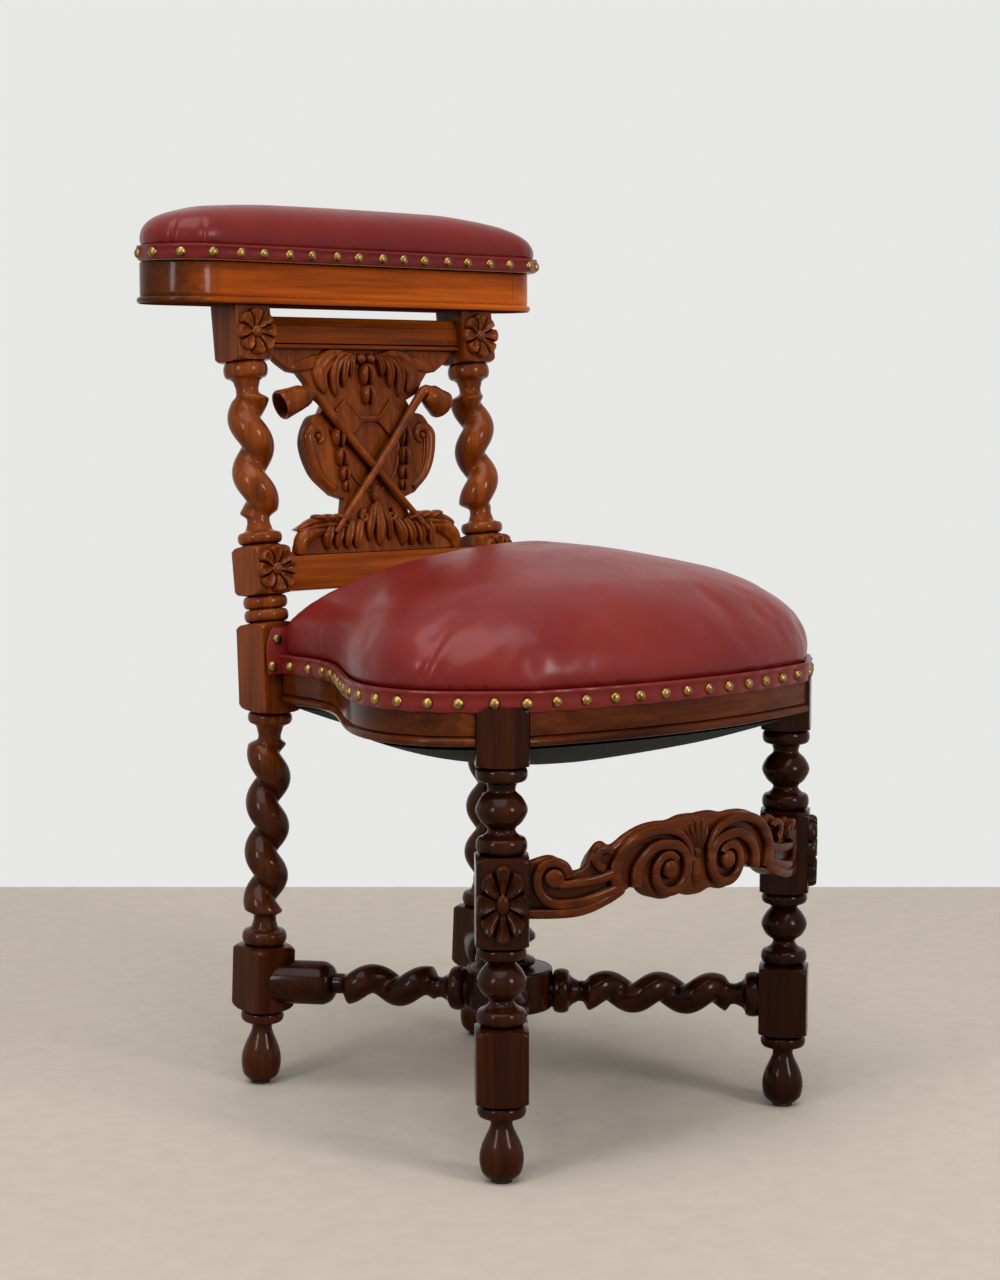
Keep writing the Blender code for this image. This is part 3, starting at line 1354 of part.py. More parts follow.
def build_dust_cover():
    """A black cloth tacked under the frame, hanging slack below the webbing."""
    inset = RAIL_THICK * 0.45
    out, along = leg_directions(-1)
    side = [point - normal * inset for point, normal in side_stations()[:-1]]
    front = [point - normal * inset for point, normal in front_stations()[1:-1]]
    behind = leg_axis(-1) - out * (LEG_REACH + 2 * GAP)
    round_leg = [behind + along * (LEG_REACH + 10 * GAP), behind - along * (LEG_REACH + 10 * GAP)]
    inner = REAR_POST_X - POST_REACH - 2 * GAP
    corner = Vector((-inner, side[0].y, 0))
    left = [Vector((-inner, REAR_POST_Y, 0)), corner, *side[::2], *round_leg]
    edge = [*left, *front[::2], *mirrored(reversed(left)), Vector((0, REAR_POST_Y, 0))]
    centre = Vector((0, CROWN_Y, 0))
    rim = RAIL_LOW - 2 * GAP - STRAP_THICK - WEAVE
    shares = (0.45, 1.0)
    top = [[centre + (p - centre) * s + UP * (rim - COVER_SAG * (1 - s * s)) for p in edge] for s in shares]
    drop = UP * COVER_THICK
    bottom = [[point - drop for point in ring] for ring in reversed(top)]
    keep(loft("dust_cover", [*top, *bottom]), BLACK_CLOTH)


def spring_points(x, y, height, begin):
    low = RAIL_LOW + SPRING_WIRE
    count = SPRING_TURNS * SPRING_POINTS
    points = []
    for k in range(count + 1):
        share = k / count
        angle = begin + 2 * math.pi * SPRING_TURNS * share
        radius = blend(SPRING_WAIST, SPRING_RADIUS, (2 * share - 1) ** 2)
        coil = Vector((radius * math.cos(angle), radius * math.sin(angle), height * share))
        points.append(Vector((x, y, low)) + coil)
    return points


def least_gap(points):
    """The smallest clear space between a spring's curls."""
    apart = SPRING_POINTS // 2
    pairs = ((a, b) for i, a in enumerate(points) for b in points[i + apart:])
    return min((a - b).length for a, b in pairs) - 2 * SPRING_WIRE


def build_springs():
    """Five hourglass springs between the webbing and the stuffing."""
    places = [MIDDLE_SPRING]
    for x, y, height, begin in (FRONT_SPRING, REAR_SPRING):
        places += [(-x, y, height, math.pi - begin), (x, y, height, begin)]
    for number, place in enumerate(places, 1):
        points = spring_points(*place)
        print(f"spring_{number} least gap {least_gap(points) * 1000:.2f} mm")
        curve = bpy.data.curves.new(f"spring_{number}", "CURVE")
        curve.dimensions = "3D"
        curve.bevel_depth = SPRING_WIRE
        curve.bevel_resolution = 0
        curve.use_fill_caps = True
        spline = curve.splines.new("POLY")
        spline.points.add(len(points) - 1)
        for target, point in zip(spline.points, points):
            target.co = (*point, 1)
        keep(bpy.data.objects.new(f"spring_{number}", curve), STEEL)


build_posts_and_legs()
build_glides()
build_seat_rails()
build_back_rails()
build_splat()
build_pipes()
build_rosettes()
build_hub()
build_front_arms()
build_rear_arms()
build_front_stretcher()
build_box()
build_lid()
build_hinges()
build_seat_cushion()
build_seat_band()
build_webbing()
build_dust_cover()
build_springs()
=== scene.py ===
"""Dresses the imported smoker's chair: turned and carved oak, leather upholstery, nails, camera and light.

Pieces are drawn in the chair's own coordinates, in metres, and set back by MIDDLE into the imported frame.
"""

import math

import bmesh
import bpy
import numpy as np
from mathutils import Matrix, Vector, noise
from mathutils.geometry import interpolate_bezier


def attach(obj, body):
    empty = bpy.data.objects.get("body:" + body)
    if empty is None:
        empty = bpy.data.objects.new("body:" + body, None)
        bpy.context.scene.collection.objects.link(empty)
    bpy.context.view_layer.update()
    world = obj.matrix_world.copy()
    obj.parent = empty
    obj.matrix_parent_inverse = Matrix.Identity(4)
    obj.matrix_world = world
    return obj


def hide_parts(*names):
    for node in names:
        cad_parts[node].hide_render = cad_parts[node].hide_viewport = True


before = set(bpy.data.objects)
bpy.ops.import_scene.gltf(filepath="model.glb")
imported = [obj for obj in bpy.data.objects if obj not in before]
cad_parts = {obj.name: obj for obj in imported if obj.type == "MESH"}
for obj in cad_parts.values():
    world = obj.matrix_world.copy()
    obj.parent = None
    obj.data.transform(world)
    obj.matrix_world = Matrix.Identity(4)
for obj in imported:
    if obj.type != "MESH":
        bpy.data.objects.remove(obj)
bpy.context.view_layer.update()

# Plan of the legs, rake of the posts, and the gap between neighbouring pieces
MIDDLE = Vector((0, 0.02715, 0))
GAP = 0.0003
FRONT_LEG_X = 0.1714
FRONT_LEG_Y = -0.1785
REAR_POST_X = 0.136
REAR_POST_Y = 0.1785
BEND_Z = 0.390
LOWER_RAKE = 0.0565
UPPER_RAKE = 0.1287
LEG_SIDE = 0.0435
POST_SIDE = 0.0425
BACK_BLOCK = 0.040
BLOCK_EASE = 0.008
FOOT_Z = 0.003
# How far a leg or post goes on behind what hides its top
HIDDEN_TOP = 0.004

# Turning: points round a member, its neck, and the strand that winds round the axis
SIDES = 64
NECK = 0.0105
STRAND = 0.0150
STRAND_OFFSET = 0.0055
ARM_STRAND = 0.0135
ROPE_STEPS = 36
ROPE_LIP = 0.15
LEG_ROPE = (0.1600, 0.3275)
LEG_PITCH = 0.0463
BACK_ROPE = (0.5290, 0.6450)
BACK_PITCH = 0.0498
# The ridge's angle at a post rope's foot, from straight behind towards the chair's middle
LEG_CREST = math.radians(-169)
BACK_CREST = math.radians(2)

# Seat frame and upholstery
SEAT_HALF = 0.237
SEAT_FRONT = -0.229
WAIST_HALF = 0.139
WAIST_Y = 0.120
WIDE_Y = -0.105
RAIL_LOW = 0.362
RAIL_HIGH = 0.4042
RAIL_THICK = 0.028
RAIL_INSET = 0.004
RAIL_BEAD = 0.0036
BAND_LOW = 0.390
BAND_HIGH = 0.4050
LEATHER = 0.002
BACK_RAIL_THICK = 0.024
CROWN_Z = 0.512
CROWN_Y = -0.045
REAR_FALL = 0.39
FRONT_FALL = 0.15
FRONT_RUN = 0.24
FRONT_SHOULDER = 0.70
EDGE_PASSES = 48
HOLLOW_Z = 0.478
# The crease by the left leg and the gathers beside it: degrees round the crown, and the crease's height
CREASE_TURN = 202.5
GATHER_TURNS = (209.0, 212.0, 215.5)
CREASE_RISE = 0.050
COVER_SAG = 0.037
COVER_RIPPLE = 0.0010
COVER_RIM = 0.3578
NAIL_RADIUS = 0.0049
NAIL_RISE = 0.0040
SCALLOP = 0.0006
NAIL_SINK = 0.0008
SEAT_NAIL_PITCH = 0.0262
LID_NAIL_PITCH = 0.0273
SEAT_NAIL_Z = 0.3972
FLAP_HIGH = 0.4325
FLAP_REACH = 0.0198
FLAP_TUCK = 0.016
FLAP_TIP = 0.0100
FLAP_NAILS = ((0.0152, SEAT_NAIL_Z), (0.0078, 0.4215))
LID_NAIL_Z = 0.7702

# Back panel, in heights along the raked posts above the bend
UPPER_RAIL = (0.297, 0.327)
LOWER_RAIL = (0.072, 0.104)
BACK_RAIL = 0.022
SPLAT_THICK = 0.010
PIPE_REST = 0.0020
ROSETTE_RADIUS = 0.0215
ROSETTE_RISE = 0.007
EYE_SHARE = 0.27
LEAF_SINK = 0.0015
LEG_ROSETTE_Z = 0.2347
LEG_ROSETTE_STRETCH = 1.52
BACK_ROSETTES = (0.0930, 0.3105)

# Stretchers
STRETCHER_Z = 0.1015
REAR_ARM_Z = 0.0975
HUB_Y = 0.0022
HUB_RADIUS = 0.0395
HUB_LOW = 0.0835
HUB_HIGH = 0.1230
FINIAL_RADIUS = 0.0230
FINIAL_HEIGHT = 0.0430
ARM_RING = 0.0203
ARM_NECK = 0.0094
# Ropes of the arms, by distance from the hub: where each starts, where its ridge is uppermost, its pitch
ARM_ROPE_START = 0.0665
FRONT_ARM_CREST = 0.0870
FRONT_ARM_PITCH = 0.0480
REAR_ARM_CREST = 0.0801
REAR_ARM_PITCH = 0.0511
REAR_ROPE_END = 0.1585
FRONT_BOW_Y = -0.227
FRONT_STRETCHER = 0.024
STRETCHER_FALL = 0.010
STRETCHER_RELIEF = 0.0065
STRETCHER_EASE = 0.005

# Tobacco box and lid
BOX_HALF = 0.2237
BOX_RADIUS = 0.045
BOX_Y = 0.241
BOX_LOW = 0.7253
BOX_FLOOR = 0.009
BOX_HIGH = 0.763
BOX_WALL = 0.009
BOX_LIP = 0.003
BOX_BEAD = 0.0031
LID_OVERHANG = 0.0055
LID_END_OVERHANG = 0.0040
LID_BOARD = 0.014
LID_PAD = 0.0407
LID_END_FALL = {-1: 0.20, 1: 0.37}
LID_END_RUN = 0.125
STADIUM_ARC = 36
LID_ARC = 60
HINGE_X = 0.120
HINGE_CLEAR = 0.030
# Pleats round the lid's ends, as (angle from the front, share of the depth), their depth and their top
LID_PLEATS = ((-1.05, 1.0), (-0.47, 0.8), (0.75, 0.6), (1.25, 0.6), (2.2, 0.7), (-2.3, 0.7))
PLEAT_DEPTH = 0.0027
PLEAT_TOP = 0.75

# Stuffing: cloth pressure swells each pad from a smaller start, and a cap limits every point
PAD_PRESSURE = 4.0
PAD_STEPS = 20
PAD_EVENED = 10
SEAT_VOXEL = 0.005
SEAT_CAP = 0.0050
SEAT_START = 0.0035
LID_VOXEL = 0.004
LID_CAP = 0.0030
LID_START = 0.0008

# Camera worked out from the photograph, and half the side of the floor
CAMERA_PLACE = (-1.539, -1.73215, 0.643)
CAMERA_TURN = math.radians(41.82)
CAMERA_PITCH = math.radians(84.52)
CAMERA_LENS = 71.97
SENSOR_WIDTH = 36
FLOOR_REACH = 0.993

# Light: the dim room, the pale wall, and the sun's spread
ROOM_TINT = (0.90, 0.93, 1.0, 1)
ROOM_STRENGTH = 0.14
WALL_TINT = (0.80, 0.80, 0.79, 1)
SUN_SPREAD = math.radians(55)

# Values that follow from the sizes above, and a few names used throughout
BACK_ANGLE = math.atan(UPPER_RAKE)
LEG_REACH = LEG_SIDE / 2
POST_REACH = POST_SIDE / 2
REAR_FOOT_Y = REAR_POST_Y + LOWER_RAKE * (BEND_Z - REAR_ARM_Z)
DIAGONAL = math.atan2(FRONT_LEG_X + REAR_POST_X, REAR_FOOT_Y - FRONT_LEG_Y)
LID_Y = BOX_Y - LID_OVERHANG
LID_RADIUS = BOX_RADIUS + LID_OVERHANG - LEATHER - GAP
LID_HALF = BOX_HALF + LID_END_OVERHANG - LEATHER - GAP
LID_LOW = BOX_HIGH + GAP
LID_HIGH = LID_LOW + LID_BOARD
HUB_CENTRE = Vector((0, HUB_Y, STRETCHER_Z))
BACK_FRAME = Matrix.Translation((0, REAR_POST_Y, BEND_Z)) @ Matrix.Rotation(-BACK_ANGLE, 4, "X")
SPLAT_FRONT = -SPLAT_THICK / 2
UP = Vector((0, 0, 1))
WHITE = (1.0, 1.0, 1.0)
SIDE_NAME = {-1: "left", 1: "right"}


# Materials


class Nodes:
    """A node tree, with short ways of adding to it."""

    def __init__(self, owner):
        owner.use_nodes = True
        self.tree = owner.node_tree

    def feed(self, socket, value):
        """Links a socket to another node's output, or gives it a value."""
        if isinstance(value, bpy.types.NodeSocket):
            self.tree.links.new(value, socket)
        else:
            socket.default_value = value

    def node(self, kind, inputs=None, **settings):
        made = self.tree.nodes.new(kind)
        for key, value in settings.items():
            setattr(made, key, value)
        for key, value in (inputs or {}).items():
            self.feed(made.inputs[key], value)
        return made


class Finish(Nodes):
    """A material and the textures that it is mixed from."""

    def __init__(self, name):
        self.material = bpy.data.materials.new(name)
        super().__init__(self.material)
        self.shader = self.tree.nodes["Principled BSDF"]

    def place(self):
        return self.node("ShaderNodeTexCoord").outputs["Object"]

    def noise(self, vector, scale, detail=4.0, roughness=0.6):
        inputs = {"Vector": vector, "Scale": scale, "Detail": detail, "Roughness": roughness}
        return self.node("ShaderNodeTexNoise", inputs).outputs["Fac"]

    def grain(self, axis, across, along, detail, roughness, turn=0.0):
        """Noise drawn out along one axis, after a turn about the upright."""
        inputs = {"Vector": self.place(), "Angle": turn}
        turned = self.node("ShaderNodeVectorRotate", inputs, rotation_type="Z_AXIS").outputs[0]
        scale = [across] * 3
        scale[axis] = along
        stretched = self.node("ShaderNodeMapping", {"Vector": turned, "Scale": scale}).outputs[0]
        return self.noise(stretched, 1.0, detail, roughness)

    def ramp(self, factor, *stops):
        made = self.node("ShaderNodeValToRGB", {"Fac": factor})
        line = made.color_ramp
        while len(line.elements) < len(stops):
            line.elements.new(0.5)
        for element, (at, colour) in zip(line.elements, stops):
            element.position = at
            element.color = (*colour, 1)
        return made.outputs["Color"]

    def span(self, value, low, high, start=0.3, end=0.7):
        """A varying value carried onto a range."""
        inputs = {"Value": value, "From Min": start, "From Max": end, "To Min": low, "To Max": high}
        return self.node("ShaderNodeMapRange", inputs).outputs["Result"]

    def multiply(self, first, second, share=1.0):
        inputs = {"Fac": share, "Color1": first, "Color2": second}
        return self.node("ShaderNodeMixRGB", inputs, blend_type="MULTIPLY").outputs["Color"]

    def recess(self, distance):
        """How open a place is, from 0 deep in the carving to 1."""
        inputs = {"Distance": distance}
        return self.node("ShaderNodeAmbientOcclusion", inputs, samples=6).outputs["AO"]

    def bump(self, height, strength, distance, under=None):
        inputs = {"Height": height, "Strength": strength, "Distance": distance}
        if under:
            inputs["Normal"] = under
        return self.node("ShaderNodeBump", inputs).outputs["Normal"]

    def set(self, **inputs):
        for key, value in inputs.items():
            self.feed(self.shader.inputs[key.replace("_", " ")], value)
        return self.material


# Oak's grain: scale across and along it, detail and roughness of its fibres and of its broad figure
FIBRES = (150.0, 6.0, 6.0, 0.7)
FIGURE = (30.0, 2.5, 3.0, 0.55)


def oak(name, axis, dark, mid, light, turn=0.0, shade=None, gloss=1.0):
    """Varnished oak with its grain along one axis and painted shade darkening its recesses.

    The shade is painted shade along one direction of the piece: that direction, where it is darkest, where
    it ends and its tint.
    """
    finish = Finish(name)
    fibres = finish.grain(axis, *FIBRES, turn)
    figure = finish.grain(axis, *FIGURE, turn)
    grain = finish.node("ShaderNodeMath", {0: fibres, 1: figure}, operation="ADD").outputs[0]
    level = finish.span(grain, 0.0, 1.0, 0.70, 1.30)
    tone = finish.ramp(level, (0.0, dark), (0.5, mid), (1.0, light))
    # Painted shade: the colour darkens where the carving encloses a point.
    painted_recess_shade = finish.ramp(finish.recess(0.012), (0.25, (0.22, 0.17, 0.15)), (0.85, WHITE))
    # Painted shade: the colour darkens along one axis of the piece.
    if shade:
        direction, darkest, end, tint = shade
        along = finish.node("ShaderNodeSeparateXYZ", {"Vector": finish.place()}).outputs[direction]
        share = finish.span(along, 0.0, 1.0, darkest, end)
        tone = finish.multiply(tone, finish.ramp(share, (0.0, tint), (1.0, WHITE)))
    smear = finish.noise(finish.place(), 35.0, 3.0)
    return finish.set(
        Base_Color=finish.multiply(tone, painted_recess_shade),
        Roughness=finish.span(smear, 0.17, 0.28),
        Specular_IOR_Level=0.05 * gloss,
        Coat_Weight=0.09 * gloss,
        Coat_Roughness=0.06,
        Normal=finish.bump(fibres, 0.20, 0.0004),
    )


def bare_shaded_oak(name):
    """The rough underside of a board, left without varnish and given a darker colour as painted shade."""
    finish = Finish(name)
    fibres = finish.grain(0, *FIBRES)
    return finish.set(
        Base_Color=finish.ramp(fibres, (0.3, (0.050, 0.014, 0.004)), (0.7, (0.095, 0.030, 0.009))),
        Roughness=0.9,
        Specular_IOR_Level=0.0,
        Normal=finish.bump(fibres, 0.3, 0.0005),
    )


def leather(name):
    """Burgundy hide: a fine pebble, cloudy dye and worn sheen."""
    finish = Finish(name)
    clouds = finish.noise(finish.place(), 14.0, 5.0)
    dye = finish.ramp(clouds, (0.30, (0.138, 0.0095, 0.0080)), (0.70, (0.186, 0.0148, 0.0115)))
    inputs = {"Vector": finish.place(), "Scale": 900.0}
    pebble = finish.node("ShaderNodeTexVoronoi", inputs).outputs["Distance"]
    wear = finish.noise(finish.place(), 60.0, 4.0)
    folds = finish.bump(finish.noise(finish.place(), 90.0, 4.0), 0.12, 0.0012)
    return finish.set(
        Base_Color=dye,
        Roughness=finish.span(wear, 0.29, 0.38),
        Specular_IOR_Level=0.16,
        Coat_Weight=0.07,
        Coat_Roughness=0.22,
        Normal=finish.bump(pebble, 0.10, 0.0002, folds),
    )


def metal(name, dark, light, rough):
    """Metal with a blotched patina."""
    finish = Finish(name)
    blotches = finish.noise(finish.place(), 220.0, 4.0)
    return finish.set(
        Base_Color=finish.ramp(blotches, (0.35, dark), (0.65, light)),
        Metallic=1.0,
        Roughness=finish.span(blotches, rough - 0.06, rough + 0.08),
        Normal=finish.bump(blotches, 0.10, 0.0003),
    )


def weave(name, dark, light, threads):
    """Cloth with crossed threads."""
    finish = Finish(name)
    waves = []
    for direction in ("X", "Y"):
        inputs = {"Vector": finish.place(), "Scale": threads, "Distortion": 0.6}
        waves.append(finish.node("ShaderNodeTexWave", inputs, bands_direction=direction).outputs["Fac"])
    crossed = finish.node("ShaderNodeMath", {0: waves[0], 1: waves[1]}, operation="MULTIPLY").outputs[0]
    return finish.set(
        Base_Color=finish.ramp(crossed, (0.0, dark), (1.0, light)),
        Roughness=0.92,
        Normal=finish.bump(crossed, 0.4, 0.0004),
    )


DARK = ((0.0080, 0.0013, 0.0002), (0.0200, 0.0036, 0.0003), (0.0430, 0.0092, 0.0010))
RUSSET = ((0.030, 0.0052, 0.0006), (0.078, 0.0148, 0.0014), (0.145, 0.0340, 0.0042))
WARM = ((0.075, 0.0132, 0.0013), (0.180, 0.0352, 0.0033), (0.318, 0.0757, 0.0083))
AMBER = ((0.094, 0.0160, 0.0014), (0.220, 0.0410, 0.0034), (0.370, 0.0860, 0.0085))
HONEY = ((0.215, 0.0360, 0.0018), (0.480, 0.0880, 0.0046), (0.680, 0.1520, 0.0110))
DARK_OAK = oak("dark_oak_upright", 2, *DARK)
ARM_OAK = {way: oak(f"dark_oak_arm_{SIDE_NAME[way]}", 1, *DARK, turn=way * DIAGONAL) for way in (-1, 1)}
# The rear posts darken below the seat: painted shade.
WARM_OAK = oak("warm_oak_upright", 2, *WARM, shade=("Z", 0.28, 0.40, (0.24, 0.24, 0.28)), gloss=1.3)
AMBER_OAK = oak("amber_oak_across", 0, *AMBER)
RAIL_OAK = oak("russet_oak_along", 1, *RUSSET)
RUSSET_OAK = oak("russet_oak_across", 0, *RUSSET)
# The box darkens towards its left end: painted shade where that end faces away from the light.
HONEY_OAK = oak("honey_oak_across", 0, *HONEY, shade=("X", -0.212, -0.172, (0.15, 0.17, 0.30)))
# Near-black oak for a disc deep in each pipe bowl: painted shadow in the hollow.
BOWL_SHADOW = oak("painted_shadow_oak", 2, (0.002, 0.0008, 0.0003), (0.004, 0.0014, 0.0006), (0.007, 0.003, 0.0012))
PINE = oak("pale_softwood", 0, (0.28, 0.16, 0.07), (0.42, 0.27, 0.13), (0.52, 0.36, 0.19))
BARE_SHADED_OAK = bare_shaded_oak("bare_painted_shade_oak")
HIDE = leather("burgundy_hide")
BRASS = metal("antique_brass", (0.095, 0.052, 0.014), (0.36, 0.22, 0.065), 0.34)
STEEL = metal("oiled_steel", (0.16, 0.15, 0.14), (0.34, 0.34, 0.35), 0.42)
IRON = metal("blackened_iron", (0.02, 0.018, 0.016), (0.06, 0.055, 0.05), 0.50)
JUTE = weave("jute_straps", (0.20, 0.13, 0.06), (0.42, 0.31, 0.17), 600.0)
BLACK_CLOTH = weave("black_lining", (0.004, 0.004, 0.004), (0.018, 0.018, 0.018), 700.0)


# Drawing helpers


def link(name, data):
    """A new object of the scene."""
    made = bpy.data.objects.new(name, data)
    bpy.context.scene.collection.objects.link(made)
    return made


def skin(count, size, closed=False):
    """The faces between rings of points that follow each other."""
    faces = []
    for i in range(count if closed else count - 1):
        a = i * size
        b = (i + 1) % count * size
        faces += [(a + j, a + (j + 1) % size, b + (j + 1) % size, b + j) for j in range(size)]
    return faces


class Shape:
    """Points and faces of one piece, gathered from several surfaces in chair coordinates.

    The numbers of faces that are to look flat, with no smooth shading, are kept in flat.
    """

    def __init__(self):
        self.points = []
        self.faces = []
        self.flat = set()

    def add(self, points, faces):
        base = len(self.points)
        self.points.extend(points)
        self.faces.extend(tuple(base + k for k in face) for face in faces)
        return self

    def loft(self, rings, closed=False, fold=None):
        """Skins rings of equal length. Unless closed into a hoop, each end has a cap.

        A last ring that mirrors itself about its point at fold is closed by strips from side to side.
        """
        size = len(rings[0])
        count = len(rings)
        faces = skin(count, size, closed)
        if not closed:
            faces.append(tuple(range(size)))
            last = (count - 1) * size
            if fold is None:
                faces.append(tuple(range(last, count * size)))
            else:
                for k in range(size // 2):
                    corners = (fold + k, fold + k + 1, fold - k - 1, fold - k)
                    faces.append(tuple(dict.fromkeys(last + corner % size for corner in corners)))
        return self.add([point for ring in rings for point in ring], faces)

    def mesh(self, name, middle=Vector()):
        """A mesh of it with its faces turned outwards, set back by the middle."""
        made = bpy.data.meshes.new(name)
        made.from_pydata([tuple(Vector(point) - middle) for point in self.points], [], self.faces)
        work = bmesh.new()
        work.from_mesh(made)
        bmesh.ops.recalc_face_normals(work, faces=work.faces)
        work.to_mesh(made)
        work.free()
        return made

    def piece(self, name, material, slot, replaces=(), body="frame", sharp=38):
        """The finished piece, riding on its body."""
        mesh = self.mesh(name, MIDDLE)
        mesh.shade_smooth()
        mesh.set_sharp_from_angle(angle=math.radians(sharp))
        for index in self.flat:
            mesh.polygons[index].use_smooth = False
        made = link(name, mesh)
        mesh.materials.append(material)
        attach(made, body)
        if replaces:
            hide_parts(*replaces)
        return made


def blend(a, b, share):
    return a + (b - a) * share


def smooth(knots, steps):
    """A flowing curve through the knots, as Vectors."""
    knots = [Vector(knot) for knot in knots]
    last = len(knots) - 1
    points = [knots[0]]
    for k in range(last):
        a, b, c, d = knots[max(k - 1, 0)], knots[k], knots[k + 1], knots[min(k + 2, last)]
        for i in range(1, steps + 1):
            t = i / steps
            bend = (2 * a - 5 * b + 4 * c - d) * t * t + (3 * b - a - 3 * c + d) * t**3
            points.append((2 * b + (c - a) * t + bend) / 2)
    return points


def mirrored(points):
    return [Vector((-point.x, *point[1:])) for point in points]


def facing(origin, direction, up=UP):
    """A frame at the origin whose X runs along the direction."""
    ahead = Vector(direction).normalized()
    side = up.cross(ahead).normalized()
    made = Matrix((ahead, side, ahead.cross(side))).transposed().to_4x4()
    made.translation = origin
    return made


def on_panel(point):
    return BACK_FRAME @ point


def runs_along(path):
    """The direction of a path at each of its points."""
    last = len(path) - 1
    return [path[min(k + 1, last)] - path[max(k - 1, 0)] for k in range(last + 1)]


def tube(shape, path, radii, place=on_panel, sides=14, power=1.0, runs=None):
    """A bar along a path, round or, with a power below 1, squarer."""

    def squared(value):
        return math.copysign(abs(value) ** power, value)

    rings = []
    for centre, radius, run in zip(path, radii, runs or runs_along(path)):
        at = facing(centre, run, Vector((0, -1, 0)))
        ring = []
        for i in range(sides):
            angle = math.tau * i / sides
            across = Vector((0, squared(math.cos(angle)), squared(math.sin(angle)))) * radius
            ring.append(place(at @ across))
        rings.append(ring)
    shape.loft(rings)


def dome(shape, centre, radius, rise, place=on_panel, sides=18, power=1.0):
    """A round boss standing towards the front, flatter with a power below 1."""
    rings = []
    for k in range(7):
        tip = math.pi / 2 * min(k / 6, 0.96)
        ring = []
        for i in range(sides):
            angle = math.tau * i / sides
            reach = radius * math.cos(tip) ** power
            point = Vector((reach * math.cos(angle), -rise * math.sin(tip), reach * math.sin(angle)))
            ring.append(place(centre + point))
        rings.append(ring)
    shape.loft(rings)


def leaf(shape, path, half, rise, ground, place=on_panel, side=1, ribs=2, blunt=5):
    """A carved lobe along a path of (x, height): ribbed, swelling from the ground, more or less blunt."""
    line = smooth(path, 7)
    across_count = 12
    rings = []
    for k, (at, run) in enumerate(zip(line, runs_along(line))):
        share = k / (len(line) - 1)
        run.normalize()
        end = math.sqrt(max(0.03, 1 - share**blunt))
        width = half * math.sin(math.pi * (0.16 + 0.62 * share)) ** 0.8 * end
        height = rise * (0.45 + 0.55 * math.sin(math.pi * (0.05 + 0.75 * share))) * end

        def spot(s, depth):
            flat = at + Vector((-run.y, run.x)) * width * s
            return place(Vector((side * flat.x, depth, flat.y)))

        ring = []
        for i in range(across_count + 1):
            s = 2 * i / across_count - 1
            groove = 0.30 * (0.5 + 0.5 * math.cos(math.pi * ribs * (s + 1))) * (1 - abs(s))
            lift = height * (math.sqrt(max(0.0, 1 - s * s)) - groove)
            ring.append(spot(s, ground - lift))
        rings.append([*ring, spot(1, ground + LEAF_SINK), spot(-1, ground + LEAF_SINK)])
    shape.loft(rings)


# Turned members


ANGLES = [math.tau * i / SIDES for i in range(SIDES)]


def rope_section(strand, offset, pitch):
    """Radii round the axis, from the ridge, of a round strand wound round it."""
    angles = np.linspace(0, math.tau, 361)[:, None]
    turns = np.linspace(-math.pi, math.pi, 241)[None, :]
    toward = offset * np.cos(angles - turns)
    apart = toward**2 - offset**2 - (pitch * turns / math.tau) ** 2 + strand**2
    reach = np.where(apart >= 0, toward + np.sqrt(np.maximum(apart, 0)), 0)
    return angles[:, 0], reach.max(axis=1)


class Turning:
    """The rings of a turned member from its foot upwards, as (height, radii)."""

    def __init__(self):
        self.rings = []

    def round(self, *knots):
        for z, radius in smooth(knots, 6) if len(knots) > 1 else knots:
            self.rings.append((z, [radius] * SIDES))

    def ring(self, z, radius, half=0.0055):
        """A torus moulding between two quirks."""
        quirk = radius * 0.76
        for k in range(13):
            angle = math.pi * k / 12
            reach = quirk + (radius - quirk) * math.sin(angle) ** 0.7
            self.rings.append((z - half * math.cos(angle), [reach] * SIDES))

    def square(self, z, side, reach=1.0):
        """A square with slightly softened corners, no farther out than the reach."""
        half = side / 2
        radii = []
        for angle in ANGLES:
            soft = (abs(math.cos(angle)) ** 22 + abs(math.sin(angle)) ** 22) ** (1 / 22)
            radii.append(min(half / soft, reach))
        self.rings.append((z, radii))

    def block(self, low, high, side):
        """A square left by the lathe, with its corners turned off at both ends."""
        shoulder = []
        for k in range(7):
            angle = math.pi / 2 * k / 6
            rise = BLOCK_EASE * (1 - math.cos(angle))
            shoulder.append((rise, side / 2 * (1.03 + 0.40 * math.sin(angle))))
        for rise, reach in shoulder:
            self.square(low + rise, side, reach)
        for rise, reach in reversed(shoulder):
            self.square(high - rise, side, reach)

    def rope(self, low, high, pitch, hand, crest, strand, neck):
        """A strand wound from low to high, whose ridge stands at the angle crest at its foot."""
        turns = (high - low) / pitch
        angles, section = rope_section(strand, STRAND_OFFSET, pitch)
        count = round(turns * ROPE_STEPS)
        for k in range(count + 1):
            share = k / count
            grown = min(1.0, min(share, 1 - share) * turns / ROPE_LIP)
            grown = grown * grown * (3 - 2 * grown)
            turn = crest + hand * math.tau * turns * share
            radii = np.interp((np.array(ANGLES) - turn) % math.tau, angles, section)
            self.rings.append((blend(low, high, share), list(neck + (radii - neck) * grown)))

    def drawn(self, place):
        rings = []
        for z, radii in self.rings:
            rings.append([place(z, r * math.cos(a), r * math.sin(a)) for a, r in zip(ANGLES, radii)])
        return Shape().loft(rings)


def rear_axis_y(z):
    if z < BEND_Z:
        return REAR_POST_Y + LOWER_RAKE * (BEND_Z - z)
    return REAR_POST_Y + UPPER_RAKE * (z - BEND_Z)


def rear_tilt(z):
    if z < 2 * FOOT_Z or z > BOX_LOW - BLOCK_EASE:
        return 0.0
    return BACK_ANGLE if z > BEND_Z else -math.atan(LOWER_RAKE)


